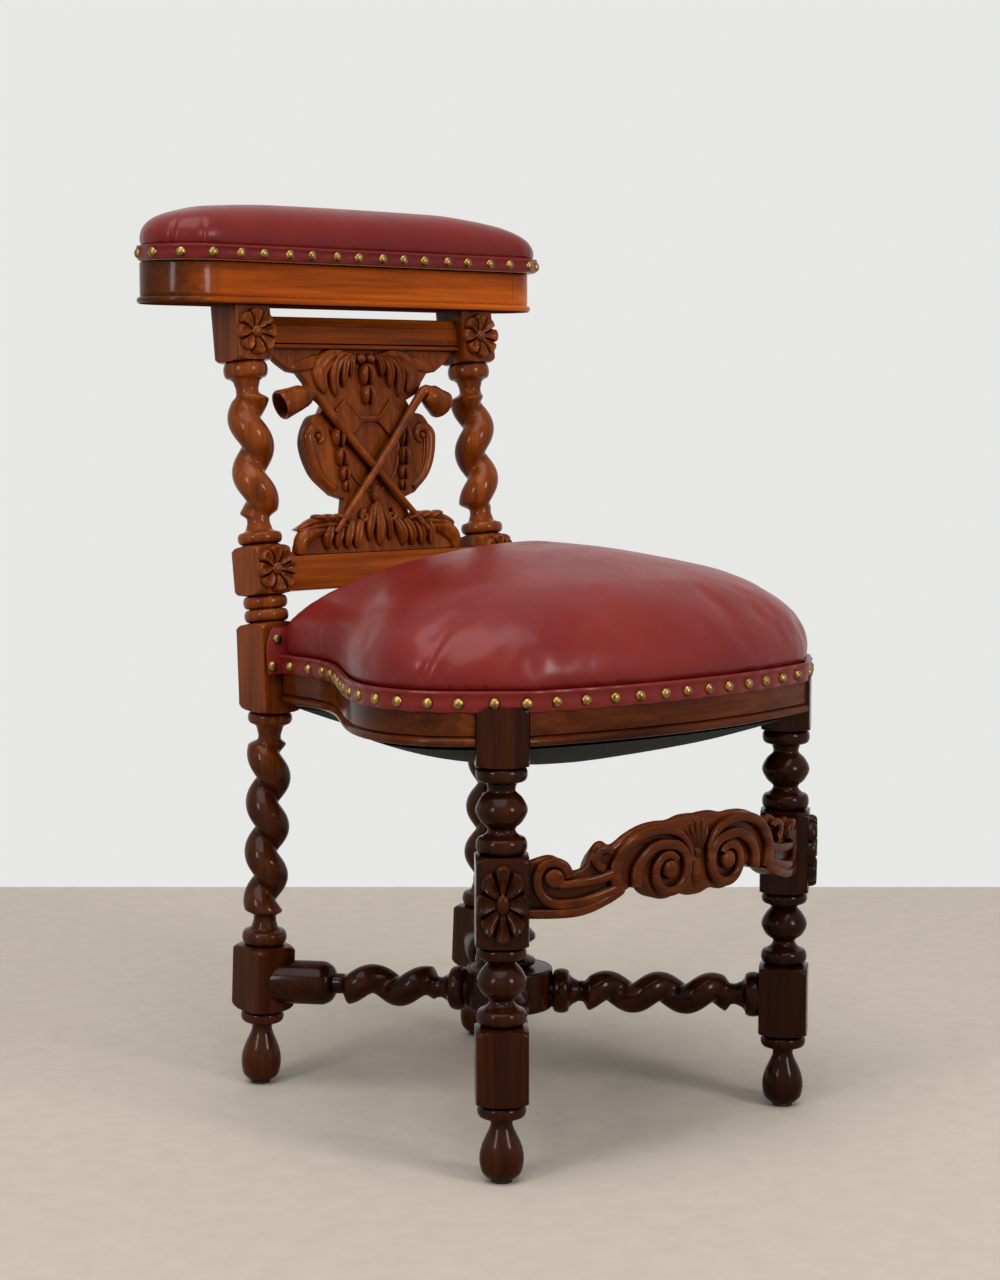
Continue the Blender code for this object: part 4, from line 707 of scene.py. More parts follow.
def leg_axis(side, z=0.0):
    return Vector((side * FRONT_LEG_X, FRONT_LEG_Y, z))


def leg_directions(side):
    """The outward diagonal of a front leg and the way from it along the side rail."""
    out = Vector((side * math.sin(DIAGONAL), -math.cos(DIAGONAL), 0))
    along = Vector((side * math.cos(DIAGONAL), math.sin(DIAGONAL), 0))
    return out, along


def front_leg(side):
    leg = Turning()
    leg.round(
        (FOOT_Z, 0.0105), (0.0055, 0.0140), (0.0100, 0.0170), (0.0205, 0.0184),
        (0.0320, 0.0160), (0.0470, 0.0093), (0.0530, 0.0105),
    )
    leg.ring(0.0600, 0.0202)
    leg.block(0.0670, 0.1294, LEG_SIDE)
    leg.ring(0.1380, 0.0206, 0.0065)
    leg.round(
        (0.1480, 0.0115), (0.1525, 0.0100), (0.1580, 0.0165),
        (0.1670, 0.0205), (0.1755, 0.0175), (0.1830, 0.0113),
    )
    leg.ring(0.1915, 0.0205, 0.0052)
    leg.block(0.1974, 0.2719, LEG_SIDE)
    leg.ring(0.2795, 0.0210, 0.0070)
    leg.round(
        (0.2895, 0.0125), (0.2935, 0.0115), (0.2993, 0.0172), (0.3086, 0.0213),
        (0.3180, 0.0172), (0.3240, 0.0115), (0.3300, 0.0125),
    )
    leg.ring(0.3380, 0.0212, 0.0062)
    leg.block(0.3447, BAND_LOW + HIDDEN_TOP, LEG_SIDE)
    turn = Matrix.Rotation(side * DIAGONAL, 3, "Z")
    shape = leg.drawn(lambda z, x, y: leg_axis(side) + turn @ Vector((x, y, z)))
    name = SIDE_NAME[side]
    shape.piece(f"turned_leg_{name}", DARK_OAK, "varnished_oak", [f"front_leg_{name}"])


def rear_post(side):
    post = Turning()
    post.round(
        (FOOT_Z, 0.0105), (0.0060, 0.0140), (0.0105, 0.0170), (0.0225, 0.0185),
        (0.0345, 0.0162), (0.0515, 0.0095), (0.0580, 0.0105),
    )
    post.ring(0.0650, 0.0200)
    post.block(0.0716, 0.1322, POST_SIDE)
    post.ring(0.1405, 0.0208, 0.0065)
    post.round((0.1495, 0.0125), (0.1560, NECK))
    post.rope(*LEG_ROPE, LEG_PITCH, side, math.pi / 2 + side * LEG_CREST, STRAND, NECK)
    post.round((0.3310, NECK), (0.3385, 0.0125))
    post.ring(0.3470, 0.0205)
    post.block(0.3539, 0.4339, POST_SIDE)
    post.ring(0.4408, 0.0204, 0.0058)
    post.ring(0.4530, 0.0204, 0.0058)
    post.block(0.4600, 0.5042, BACK_BLOCK)
    post.ring(0.5115, 0.0205)
    post.round((0.5190, 0.0125), (0.5255, NECK))
    post.rope(*BACK_ROPE, BACK_PITCH, side, math.pi / 2 + side * BACK_CREST, STRAND, NECK)
    post.round((0.6485, NECK), (0.6550, 0.0125))
    post.ring(0.6651, 0.0205, 0.0074)
    post.block(0.6728, BOX_LOW + HIDDEN_TOP, BACK_BLOCK)

    def place(z, x, y):
        tilt = rear_tilt(z)
        axis_y = rear_axis_y(min(z, BOX_LOW))
        return Vector((side * REAR_POST_X + x, axis_y + y * math.cos(tilt), z - y * math.sin(tilt)))

    name = SIDE_NAME[side]
    post.drawn(place).piece(f"turned_post_{name}", WARM_OAK, "varnished_oak", [f"rear_post_{name}"])


def hub():
    """A turned drum that the four arms meet in, with a ringed finial on top."""
    drum = ((0.0, 0.70), (0.05, 0.90), (0.18, 1.0), (0.92, 1.0), (1.0, 0.92))
    lower_bead = ((0.0, 0.75), (0.07, 0.98), (0.13, 1.03), (0.19, 0.98), (0.30, 0.5))
    upper_bead = ((0.44, 0.5), (0.60, 0.98), (0.67, 1.03), (0.74, 0.98), (0.93, 0.6), (1.0, 0.1))
    turned = Turning()
    turned.round(*((blend(HUB_LOW, HUB_HIGH, share), HUB_RADIUS * width) for share, width in drum))
    for bead in (lower_bead, upper_bead):
        turned.round(*((HUB_HIGH + FINIAL_HEIGHT * share, FINIAL_RADIUS * width) for share, width in bead))
    shape = turned.drawn(lambda z, x, y: Vector((x, HUB_Y + y, z)))
    shape.piece("turned_hub", DARK_OAK, "varnished_oak", ["stretcher_hub"])


def arm_end(side, near):
    """Where an arm's axis meets its leg or post."""
    return leg_axis(side, STRETCHER_Z) if near else Vector((side * REAR_POST_X, REAR_FOOT_Y, REAR_ARM_Z))


def arm_start():
    """An arm from the hub to the neck before its rope."""
    turned = Turning()
    turned.round((HUB_RADIUS - 0.006, ARM_RING * 0.7))
    turned.ring(HUB_RADIUS + 0.0080, ARM_RING, 0.0072)
    turned.round((ARM_ROPE_START - 0.0085, 0.0120), (ARM_ROPE_START - 0.0035, ARM_NECK))
    return turned


def uppermost(crest_at, pitch, hand):
    """The angle at which a rope starts, for its ridge to come uppermost at a distance from the hub."""
    return math.pi / 2 - hand * math.tau * (crest_at - ARM_ROPE_START) / pitch


def finish_arm(turned, side, near):
    name = f"arm_{'front' if near else 'rear'}_{SIDE_NAME[side]}"
    at = facing(HUB_CENTRE, arm_end(side, near) - HUB_CENTRE)
    shape = turned.drawn(lambda z, x, y: at @ Vector((z, x, y)))
    look = ARM_OAK[side if near else -side]
    shape.piece(f"twisted_{name}", look, "varnished_oak", [f"stretcher_{name}"])


def front_arm(side):
    reach = (arm_end(side, True) - HUB_CENTRE).length - LEG_REACH
    turned = arm_start()
    crest = uppermost(FRONT_ARM_CREST, FRONT_ARM_PITCH, -side)
    turned.rope(ARM_ROPE_START, reach - 0.0245, FRONT_ARM_PITCH, -side, crest, ARM_STRAND, ARM_NECK)
    turned.round((reach - 0.0215, ARM_NECK), (reach - 0.0155, 0.0120))
    turned.ring(reach - 0.0055, ARM_RING, 0.0075)
    turned.round((reach + 0.003, ARM_RING * 0.7))
    finish_arm(turned, side, True)


def rear_arm(side):
    reach = (arm_end(side, False) - HUB_CENTRE).length
    turned = arm_start()
    crest = uppermost(REAR_ARM_CREST, REAR_ARM_PITCH, side)
    turned.rope(ARM_ROPE_START, REAR_ROPE_END, REAR_ARM_PITCH, side, crest, ARM_STRAND, ARM_NECK)
    turned.round((REAR_ROPE_END + 0.0030, ARM_NECK), (REAR_ROPE_END + 0.0075, ARM_NECK))
    sleeve = ((0.0085, 0.65), (0.0105, 0.79), (0.0130, 0.88), (0.0160, 0.96), (0.0190, 1.0))
    turned.round(*((REAR_ROPE_END + out, ARM_RING * width) for out, width in sleeve))
    turned.round((reach - 0.004, ARM_RING))
    finish_arm(turned, side, False)


# Seat frame


def with_normals(points, first, last):
    stations = [(points[0], first)]
    for before, here, after in zip(points, points[1:], points[2:]):
        run = (after - before).normalized()
        stations.append((here, Vector((run.y, -run.x, 0))))
    stations.append((points[-1], last))
    return stations


def side_stations():
    """The left rail's face from the rear post to the front leg."""
    out, along = leg_directions(-1)
    rear = Vector((-WAIST_HALF, REAR_POST_Y - POST_REACH - 2 * GAP, 0))
    waist = Vector((-WAIST_HALF, WAIST_Y, 0))
    wide = Vector((-SEAT_HALF, WIDE_Y, 0))
    ease = Vector((0, 0.35 * (WAIST_Y - WIDE_Y), 0))
    leg = leg_axis(-1) + out * (LEG_REACH - RAIL_INSET) + along * (LEG_REACH + GAP)
    straight = [rear.lerp(waist, k / 8) for k in range(8)]
    ogee = interpolate_bezier(waist, waist - ease, wide + ease, wide, 60)
    corner = interpolate_bezier(wide, wide - ease * 0.45, leg + along * 0.025, leg, 30)
    return with_normals([*straight, *ogee, *corner[1:]], Vector((-1, 0, 0)), out)


def front_stations():
    """The front rail's face from the left leg to the right one."""
    out, along = leg_directions(-1)
    leg = leg_axis(-1) + out * (LEG_REACH - RAIL_INSET) - along * (LEG_REACH + GAP)
    middle = Vector((0, SEAT_FRONT, 0))
    by_leg = leg + Vector((0.05, -0.0125, 0))
    half = interpolate_bezier(leg, by_leg, middle - Vector((0.07, 0, 0)), middle, 40)
    right = mirrored(reversed(half[:-1]))
    return with_normals([*half, *right], out, Vector((-out.x, out.y, 0)))


def flipped(stations):
    return [(Vector((-p.x, p.y, p.z)), Vector((-n.x, n.y, n.z))) for p, n in reversed(stations)]


def over_leg(side):
    """Stations across a front leg's top, between the two rails."""
    out, along = leg_directions(side)
    face = leg_axis(side) + out * (LEG_REACH - RAIL_INSET)
    reach = LEG_REACH * 0.9
    stations = [(face + along * blend(reach, -reach, k / 6), out) for k in range(7)]
    return stations if side < 0 else stations[::-1]


def seat_run():
    """The whole open run of the seat's face, from the left rear post round to the right one."""
    left = side_stations()
    return [*left, *over_leg(-1), *front_stations(), *over_leg(1), *flipped(left)]


def lengths_along(points):
    lengths = [0.0]
    for before, after in zip(points, points[1:]):
        lengths.append(lengths[-1] + (after - before).length)
    return lengths


def set_in(station, depth, z):
    """A point at a height, and at a depth behind the face at a station."""
    point, normal = station
    return point - normal * depth + UP * z


def swept(stations, profile):
    """A section of (depth behind the face, height) carried along a run of stations."""
    return Shape().loft([[set_in(at, *spot) for spot in profile] for at in stations])


def beading(depth, out, up, low, start, end, count):
    """A bead's section on a lower edge, as (depth, height) from one angle to another in degrees."""
    points = []
    for k in range(count + 1):
        angle = math.radians(start + (end - start) * k / count)
        points.append((depth - out * math.cos(angle), low + up + up * math.sin(angle)))
    return points


def rail_profile():
    """A flat face with a bead under a quirk along its lower edge."""
    bead = beading(0.0008, RAIL_BEAD, RAIL_BEAD, RAIL_LOW, 70, -90, 12)
    quirk = ((0.0, RAIL_LOW + 0.0088), (0.0012, RAIL_LOW + 0.0078))
    return [(RAIL_THICK, RAIL_HIGH), (0.0, RAIL_HIGH), *quirk, *bead, (RAIL_THICK, RAIL_LOW)]


def seat_rails():
    left = side_stations()
    runs = {"side_rail_left": left, "side_rail_right": flipped(left), "front_rail": front_stations()}
    for name, run in runs.items():
        look = RUSSET_OAK if name == "front_rail" else RAIL_OAK
        swept(run, rail_profile()).piece(f"beaded_{name}", look, "varnished_oak", [name])


# Back panel


def back_rail(name, rail, lower, upper):
    """A moulded rail between the posts. Its front is given as (depth, distance) from either edge."""
    front = -BACK_RAIL / 2
    low, high = rail
    section = [(front + depth, low + rise) for depth, rise in lower]
    section += [(front + depth, high - fall) for depth, fall in upper]
    section += [(-front, high), (-front, low)]
    half = REAR_POST_X - BACK_BLOCK / 2 + 0.001
    rings = [[on_panel(Vector((x, y, z))) for y, z in section] for x in (-half, half)]
    Shape().loft(rings).piece(f"moulded_{name}", AMBER_OAK, "varnished_oak", [f"back_{name}"], sharp=20)


def back_rails():
    fillet = ((0.0012, 0.0), (0.0003, 0.0008), (0.0003, 0.0034), (0.0022, 0.0042), (0.0, 0.0050))
    cove = ((0.0, 0.0098), (0.0020, 0.0088), (0.0042, 0.0012), (0.0056, 0.0))
    back_rail("upper_rail", UPPER_RAIL, fillet, cove)
    eased = ((0.0012, 0.0), (0.0, 0.0012))
    step = ((0.0, 0.0062), (0.0016, 0.0054), (0.0016, 0.0012), (0.0028, 0.0))
    back_rail("lower_rail", LOWER_RAIL, eased, step)


# Half of the splat's outline as (x, height, corner): the bracket, the scroll and the leafy foot
SPLAT_OUTLINE = (
    (0.1130, UPPER_RAIL[0] - GAP, True),
    (0.1010, 0.2850, False),
    (0.0880, 0.2765, True),
    (0.0775, 0.2750, True),
    (0.0700, 0.2665, True),
    (0.0640, 0.2560, True),
    (0.0490, 0.2490, True),
    (0.0560, 0.2375, True),
    (0.0700, 0.2325, False),
    (0.0805, 0.2090, False),
    (0.0715, 0.1800, False),
    (0.0500, 0.1600, True),
    (0.0365, 0.1555, True),
    (0.0400, 0.1400, True),
    (0.0660, 0.1415, False),
    (0.0965, 0.1290, True),
    (0.0880, 0.1262, True),
    (0.0870, 0.1220, True),
    (0.0955, 0.1150, False),
    (0.0985, LOWER_RAIL[1] + GAP, True),
)
SPLAT_HOLE = ((0.045, 0.208, True), (0.0455, 0.218, False), (0.0485, 0.2225, True), (0.0475, 0.215, False))
# Half of the raised collar: the upper edge with its point, and the flap below
COLLAR_TOP = ((0.0123, 0.2335), (0.0277, 0.2505), (0.0403, 0.2400))
COLLAR_FLAP = ((0.0430, 0.2310), (0.0395, 0.2200), (0.0285, 0.2105), (0.0195, 0.2185), (0.0095, 0.2285))
COLLAR_RISE = 0.0030


def rounded(knots, steps=8):
    """Points along a chain of (x, height, corner) knots, with smooth curves between the corners."""
    places = [Vector((x, 0, z)) for x, z, _ in knots]
    points = [places[0]]
    for k, (a, b) in enumerate(zip(places, places[1:])):
        from_corner, to_corner = knots[k][2], knots[k + 1][2]
        leave = b - a if from_corner else (b - places[k - 1]) / 2
        arrive = b - a if to_corner else (places[k + 2] - a) / 2
        if from_corner and to_corner:
            points.append(b)
        else:
            points += interpolate_bezier(a, a + leave / 3, b - arrive / 3, b, steps + 1)[1:]
    return points


def board(shape, outlines, thick, middle=0.0, ease=0.0009):
    """A board of the back panel with flat faces and eased edges. Outlines after the first are holes."""
    curve = bpy.data.curves.new("board", "CURVE")
    curve.dimensions = "2D"
    curve.fill_mode = "BOTH"
    curve.extrude = thick / 2 - ease
    curve.bevel_depth = ease
    curve.offset = -ease
    curve.bevel_resolution = 2
    for outline in outlines:
        spline = curve.splines.new("POLY")
        spline.points.add(len(outline) - 1)
        for target, point in zip(spline.points, outline):
            target.co = (point.x, point.z, 0, 1)
        spline.use_cyclic_u = True
    drawn = bpy.data.objects.new("board", curve)
    mesh = bpy.data.meshes.new_from_object(drawn)
    bpy.data.objects.remove(drawn)
    bpy.data.curves.remove(curve)
    work = bmesh.new()
    work.from_mesh(mesh)
    bmesh.ops.remove_doubles(work, verts=work.verts, dist=1e-5)
    work.transform(BACK_FRAME @ Matrix.Translation((0, middle, 0)) @ Matrix.Rotation(math.pi / 2, 4, "X"))
    work.verts.index_update()
    work.faces.index_update()
    work.normal_update()
    through = BACK_FRAME.to_3x3().col[1]
    base = len(shape.faces)
    shape.flat.update(base + face.index for face in work.faces if abs(face.normal.dot(through)) > 0.999)
    faces = [[vert.index for vert in face.verts] for face in work.faces]
    shape.add([vert.co.copy() for vert in work.verts], faces)
    work.free()
    bpy.data.meshes.remove(mesh)


def spiral(centre, radii, begin, turn, depth, count=60, power=1.0):
    """A spiral whose radius closes in evenly, or late with a power above 1."""
    points = []
    for k in range(count + 1):
        angle = begin + turn * k / count
        radius = blend(*radii, (k / count) ** power)
        x = centre[0] + radius * math.cos(angle)
        points.append(Vector((x, depth, centre[1] + radius * math.sin(angle))))
    return points


def flat_path(path, side, depth, steps=8):
    """A flowing path of (x, height) at one depth on a panel."""
    return [Vector((side * point.x, depth, point.y)) for point in smooth(path, steps)]


def tapered(path, start, end):
    return [blend(start, end, k / (len(path) - 1)) for k in range(len(path))]


def splat_scroll(shape, side):
    """The ear of the splat: a rolled edge that curls in to the eye, and a fine bead beside it."""
    front = SPLAT_FRONT
    eye = (0.0640, 0.2147)
    curl = spiral(eye, (0.0100, 0.0050), 0.0, 1.45 * math.pi, 0.0)
    foot = Vector((0.0480, 0, 0.1650))
    stem = interpolate_bezier(foot, Vector((0.0640, 0, 0.1730)), Vector((0.0740, 0, 0.1897)), curl[0], 24)
    swelling = tapered(stem, 0.0032, 0.0066)
    path = [Vector((side * p.x, front + 0.0010, p.z)) for p in (*stem[:-1], *curl)]
    tube(shape, path, [*swelling[:-1], *tapered(curl, swelling[-1], 0.0026)], sides=20)
    rim = [Vector((side * (p.x - r - 0.0008), front - 0.0002, p.z + 0.0010)) for p, r in zip(stem, swelling)]
    tube(shape, rim, tapered(rim, 0.0007, 0.0014), sides=8)
    dome(shape, Vector((side * eye[0], front, eye[1])), 0.0036, 0.0045)


def splat_top(shape, side):
    """Drooping leaves under the rail and the flat leaf along the bracket."""
    flat = ((0.040, 0.291), (0.058, 0.286), (0.073, 0.282), (0.088, 0.279))
    big = ((0.026, 0.292), (0.044, 0.288), (0.0555, 0.275), (0.0505, 0.255))
    second = ((0.021, 0.292), (0.033, 0.287), (0.0405, 0.273), (0.0385, 0.252))
    third = ((0.016, 0.292), (0.024, 0.287), (0.0285, 0.276), (0.0280, 0.261))
    fourth = ((0.012, 0.292), (0.017, 0.287), (0.0190, 0.280), (0.0185, 0.271))
    ribbed = ((flat, 0.0065, 0.0030, 3), (big, 0.0100, 0.0085, 3))
    plain = ((second, 0.0068, 0.0105, 2), (third, 0.0056, 0.0100, 2), (fourth, 0.0044, 0.0085, 2))
    for path, half, rise, ribs in (*ribbed, *plain):
        leaf(shape, path, half, rise, SPLAT_FRONT, side=side, ribs=ribs)
    dome(shape, Vector((side * 0.0056, SPLAT_FRONT, 0.2880)), 0.0056, 0.0085)


def husk(shape, x, z, size, side):
    """A pair of seeds hanging side by side."""
    for way in (-1, 1):
        belly = (x + way * size * 0.34, z + size * 0.4)
        tip = (x + way * size * 0.30, z - size * 0.7)
        leaf(shape, ((x, z + size), belly, tip), size * 0.36, size * 0.85, SPLAT_FRONT, side=side, ribs=1)


def splat_foot(shape, side):
    """The leafy foot: a tip curling outwards, fingers hanging to the rail and a curl by the middle."""
    front = SPLAT_FRONT
    tip = ((0.034, 0.1310), (0.056, 0.1345), (0.078, 0.1325), (0.0955, 0.1275))
    leaf(shape, tip, 0.0072, 0.0085, front, side=side, ribs=2)
    for x in (0.044, 0.057, 0.070):
        tooth = ((x - 0.007, 0.1340), (x + 0.001, 0.1378), (x + 0.009, 0.1392))
        leaf(shape, tooth, 0.0042, 0.0105, front, side=side, ribs=1)
    base = ((0.096, 0.105), (0.0925, 0.117), (0.080, 0.1250), (0.060, 0.128))
    leaf(shape, base, 0.0085, 0.0080, front, side=side, ribs=1)
    for x in (0.026, 0.037, 0.049, 0.061):
        fall = ((x - 0.005, 0.1345), (x, 0.126), (x + 0.0025, 0.117), (x + 0.002, 0.1085))
        leaf(shape, fall, 0.0070, 0.0092, front, side=side, blunt=2.4)
    near = ((0.004, 0.149), (0.009, 0.138), (0.0120, 0.126), (0.0125, 0.114))
    leaf(shape, near, 0.0058, 0.0088, front, side=side, blunt=2.4)
    curl = spiral((0.0165, 0.1380), (0.0052, 0.0012), math.pi / 2, -2.4 * math.pi, front - 0.0022, 36)
    tube(shape, [Vector((side * p.x, p.y, p.z)) for p in curl], tapered(curl, 0.0030, 0.0016), sides=10)


def splat():
    """The pierced back splat with its scrolls, collar, husks and leaves."""
    right = rounded(SPLAT_OUTLINE)
    hole = rounded((*SPLAT_HOLE, SPLAT_HOLE[0]))[:-1]
    front = SPLAT_FRONT
    shape = Shape()
    board(shape, [[*right, *mirrored(reversed(right))], hole, mirrored(hole)], SPLAT_THICK)
    half = [Vector((x, 0, z)) for x, z in (*COLLAR_TOP, *COLLAR_FLAP)]
    board(shape, [[*half, *mirrored(reversed(half))]], 2 * COLLAR_RISE, front, 0.0007)
    line = [Vector((x, front - COLLAR_RISE, z - 0.0026)) for x, z in COLLAR_TOP]
    line = [*mirrored(reversed(line)), *line]
    tube(shape, line, [0.0007] * len(line), sides=8)
    for side in (-1, 1):
        splat_scroll(shape, side)
        splat_top(shape, side)
        splat_foot(shape, side)
        for z, size in ((0.2120, 0.0105), (0.1935, 0.0100), (0.1775, 0.0085), (0.1665, 0.0065)):
            husk(shape, 0.0400 - (0.2120 - z) * 0.12, z, size, side)
        edge = flat_path(((0.030, 0.232), (0.0335, 0.205), (0.0240, 0.176), (0.0, 0.1585)), side, front)
        tube(shape, edge, tapered(edge, 0.0020, 0.0020), sides=10)
    husk(shape, 0.0, 0.2707, 0.0125, 1)
    husk(shape, 0.0, 0.2520, 0.0110, 1)
    leaf(shape, ((0.0, 0.152), (0.0, 0.138), (0.0005, 0.124), (0.0, 0.110)), 0.0068, 0.0095, front, ribs=3)
    leaf(shape, ((0.0, 0.168), (0.0, 0.162), (0.0, 0.156), (0.0, 0.149)), 0.0075, 0.0070, front, ribs=3)
    shape.piece("carved_splat", WARM_OAK, "varnished_oak", ["splat"], sharp=50)


# Crossed pipes: bowl mouth and heel of the left and the right one, and stem end, on the back panel
PIPE_MOUTH = {-1: (-0.1055, 0.2440), 1: (0.0900, 0.2440)}
BOWL_SETBACK = 0.0050
BOWL_DEPTH = 0.0150
BOWL_RADII = (0.0094, 0.0120, 0.0136)
# Depths and radii of the near-black disc in each bowl: painted shadow in the hollow.
BOWL_SHADOW_DEPTHS = (0.0155, 0.0090)
BOWL_SHADOW_RADII = (0.0089, 0.0105)
PIPE_HEEL = {-1: (-0.0680, 0.2530), 1: (0.0620, 0.2540)}
PIPE_END = (0.0565, 0.1240)
PIPE_RADII = (0.0146, 0.0127, 0.0108, 0.0050, 0.0040, 0.0036, 0.0031, 0.0026)


def pipe(side, lift):
    """A bent pipe with an open bowl, lifted where it crosses the other one."""
    ground = SPLAT_FRONT - COLLAR_RISE * 0.8
    level = Vector((0, ground - PIPE_RADII[3], 0))
    mouth, heel = (Vector((x, 0, z)) for x, z in (PIPE_MOUTH[side], PIPE_HEEL[side]))
    end = Vector((-side * PIPE_END[0], 0, PIPE_END[1]))
    cross = heel.lerp(end, heel.x / (heel.x - end.x))
    throat = heel.lerp(mouth, 0.38) + UP * 0.0022
    over = Vector((0, ground - PIPE_RADII[5] - lift, 0))
    rest = Vector((0, ground - PIPE_REST - PIPE_RADII[7], 0))
    back = Vector((0, BOWL_SETBACK, 0))
    knots = [mouth + level + back, mouth.lerp(throat, 0.5) + level + back / 2, throat + level, heel + level]
    knots += [heel.lerp(cross, 0.55) + level.lerp(over, 0.8), cross + over]
    knots += [cross.lerp(end, 0.45) + over.lerp(rest, 0.45), end + rest]
    path = smooth(knots, 6)
    radii = [point[0] for point in smooth([(radius, 0.0) for radius in PIPE_RADII], 6)]
    into = (path[1] - path[0]).normalized()
    hollow = [path[0] + into * BOWL_DEPTH, path[0] + into * 0.0006]
    shape = Shape()
    runs = [into, into, *runs_along(path)]
    tube(shape, [*hollow, *path], [*BOWL_RADII, *radii[1:]], sides=24, runs=runs)
    name = SIDE_NAME[side]
    # A near-black disc inside the bowl: painted shadow in the hollow.
    bowl_shadow = Shape()
    tube(bowl_shadow, [path[0] + into * depth for depth in BOWL_SHADOW_DEPTHS], BOWL_SHADOW_RADII, sides=24)
    bowl_shadow.piece(f"painted_shadow_bowl_{name}", BOWL_SHADOW, "varnished_oak")
    shape.piece(f"carved_pipe_{name}", WARM_OAK, "varnished_oak", [f"pipe_{name}"], sharp=50)


def petal_height(off, share):
    """Height of a flower, as a share of its rise, at a place across a petal and out from its middle."""
    if share < EYE_SHARE:
        return 0.30 + 0.66 * math.sqrt(1 - (share / EYE_SHARE) ** 2)
    out = (share - EYE_SHARE) / (1 - EYE_SHARE)
    along = 0.34 + 0.66 * min(1.0, out / 0.55) ** 0.8
    end = math.sqrt(max(0.0, 1 - max(0.0, (out - 0.86) / 0.15) ** 2))
    spoon = 0.42 * math.sin(math.pi * min(1.0, out * 1.12)) ** 0.8
    rim = 0.68
    if off < rim:
        across = 1 - spoon * (1 - (off / rim) ** 2)
    else:
        across = 1 - 0.80 * ((off - rim) / (1 - rim)) ** 1.3
    return max(0.06, along * across * end)


def rosette(name, place, stretch=1.0):
    """An eight-petalled flower: spoon-shaped petals with raised rims round a domed eye."""
    petals = 8
    count = petals * 20
    steps = 22
    rings = []
    for k in range(steps + 1):
        share = 1 - 0.98 * k / steps
        ring = []
        for i in range(count):
            angle = math.tau * i / count
            off = abs(2 * ((petals * i / count + 0.5) % 1.0) - 1)
            reach = ROSETTE_RADIUS * (1 - 0.20 * (1 - math.sqrt(1 - off**2 * 0.98)))
            radius = reach * (share if share > EYE_SHARE else share * ROSETTE_RADIUS / reach)
            rise = -ROSETTE_RISE * petal_height(off, share)
            ring.append(Vector((radius * math.cos(angle), rise, radius * math.sin(angle) * stretch)))
        rings.append(ring)
    base = [Vector((point.x, 0.001, point.z)) for point in rings[0]]
    placed = [[place @ point for point in ring] for ring in (base, *rings)]
    look = WARM_OAK if stretch == 1.0 else DARK_OAK
    Shape().loft(placed).piece(f"carved_{name}", look, "varnished_oak", [name], sharp=40)


def rosettes():
    for side in (-1, 1):
        for place, height in zip(("lower", "upper"), BACK_ROSETTES):
            at = BACK_FRAME @ Matrix.Translation((side * REAR_POST_X, -BACK_BLOCK / 2, height))
            rosette(f"rosette_{place}_{SIDE_NAME[side]}", at)
        turn = Matrix.Translation(leg_axis(side, LEG_ROSETTE_Z)) @ Matrix.Rotation(side * DIAGONAL, 4, "Z")
        at = turn @ Matrix.Translation((0, -LEG_REACH, 0))
        rosette(f"rosette_leg_{SIDE_NAME[side]}", at, LEG_ROSETTE_STRETCH)


# Front stretcher: lower and upper edge by share of the run from leg to middle
STRETCHER_EDGE = (
    (0.00, 0.2200, 0.2670),
    (0.09, 0.2202, 0.2711),
    (0.15, 0.2206, 0.2680),
    (0.21, 0.2214, 0.2580),
    (0.28, 0.2233, 0.2607),
    (0.31, 0.2247, 0.2720),
    (0.34, 0.2262, 0.2785),
    (0.38, 0.2290, 0.2800),
    (0.43, 0.2330, 0.2764),
    (0.51, 0.2358, 0.2835),
    (0.58, 0.2400, 0.2880),
    (0.63, 0.2385, 0.2900),
    (0.67, 0.2310, 0.2908),
    (0.73, 0.2258, 0.2912),
    (0.80, 0.2243, 0.2908),
    (0.88, 0.2268, 0.2935),
    (0.95, 0.2240, 0.2937),
    (1.00, 0.2235, 0.2932),
)


def bow_line():
    """The bowed middle line of the front stretcher from the left leg to the middle."""
    _, along = leg_directions(-1)
    leg = leg_axis(-1) - along * (LEG_REACH + GAP)
    middle = Vector((0, FRONT_BOW_Y, 0))
    return interpolate_bezier(leg, leg - along * 0.045, middle - Vector((0.085, 0, 0)), middle, 121)


BOW = bow_line()
BOW_LENGTHS = lengths_along(BOW)


def on_bow(point):
    """Carries a flat point, at its distance along the bow from the middle, onto the bowed stretcher."""
    from_leg = BOW_LENGTHS[-1] - abs(point.x)
    k = int(np.clip(np.searchsorted(BOW_LENGTHS, from_leg, "right") - 1, 0, len(BOW) - 2))
    share = (from_leg - BOW_LENGTHS[k]) / (BOW_LENGTHS[k + 1] - BOW_LENGTHS[k])
    run = (BOW[k + 1] - BOW[k]).normalized()
    if abs(point.x) < 1e-9:
        run = Vector((1, 0, 0))
    placed = BOW[k].lerp(BOW[k + 1], share) + Vector((-run.y, run.x, 0)) * point.y
    side = 1 if point.x > 0 else -1
    return Vector((-side * placed.x, placed.y, point.z))


def stretcher_body(shape):
    back = FRONT_STRETCHER / 2
    front = back - STRETCHER_RELIEF
    half = [(-BOW_LENGTHS[-1] * (1 - point[0]), point[1], point[2]) for point in smooth(STRETCHER_EDGE, 5)]
    rings = []
    for along, low, high in [*half, *((-at, low, high) for at, low, high in reversed(half[:-1]))]:
        section = []
        for k in range(6):
            angle = math.pi / 2 * k / 5
            depth = STRETCHER_EASE * (1 - math.sin(angle)) - front
            section.append((depth, low + STRETCHER_EASE * (1 - math.cos(angle))))
        upper = [(depth, low + high - z) for depth, z in reversed(section)]
        section = [(back, low), *section, *upper, (back, high - STRETCHER_FALL)]
        rings.append([on_bow(Vector((along, depth, z))) for depth, z in section])
    shape.loft(rings)


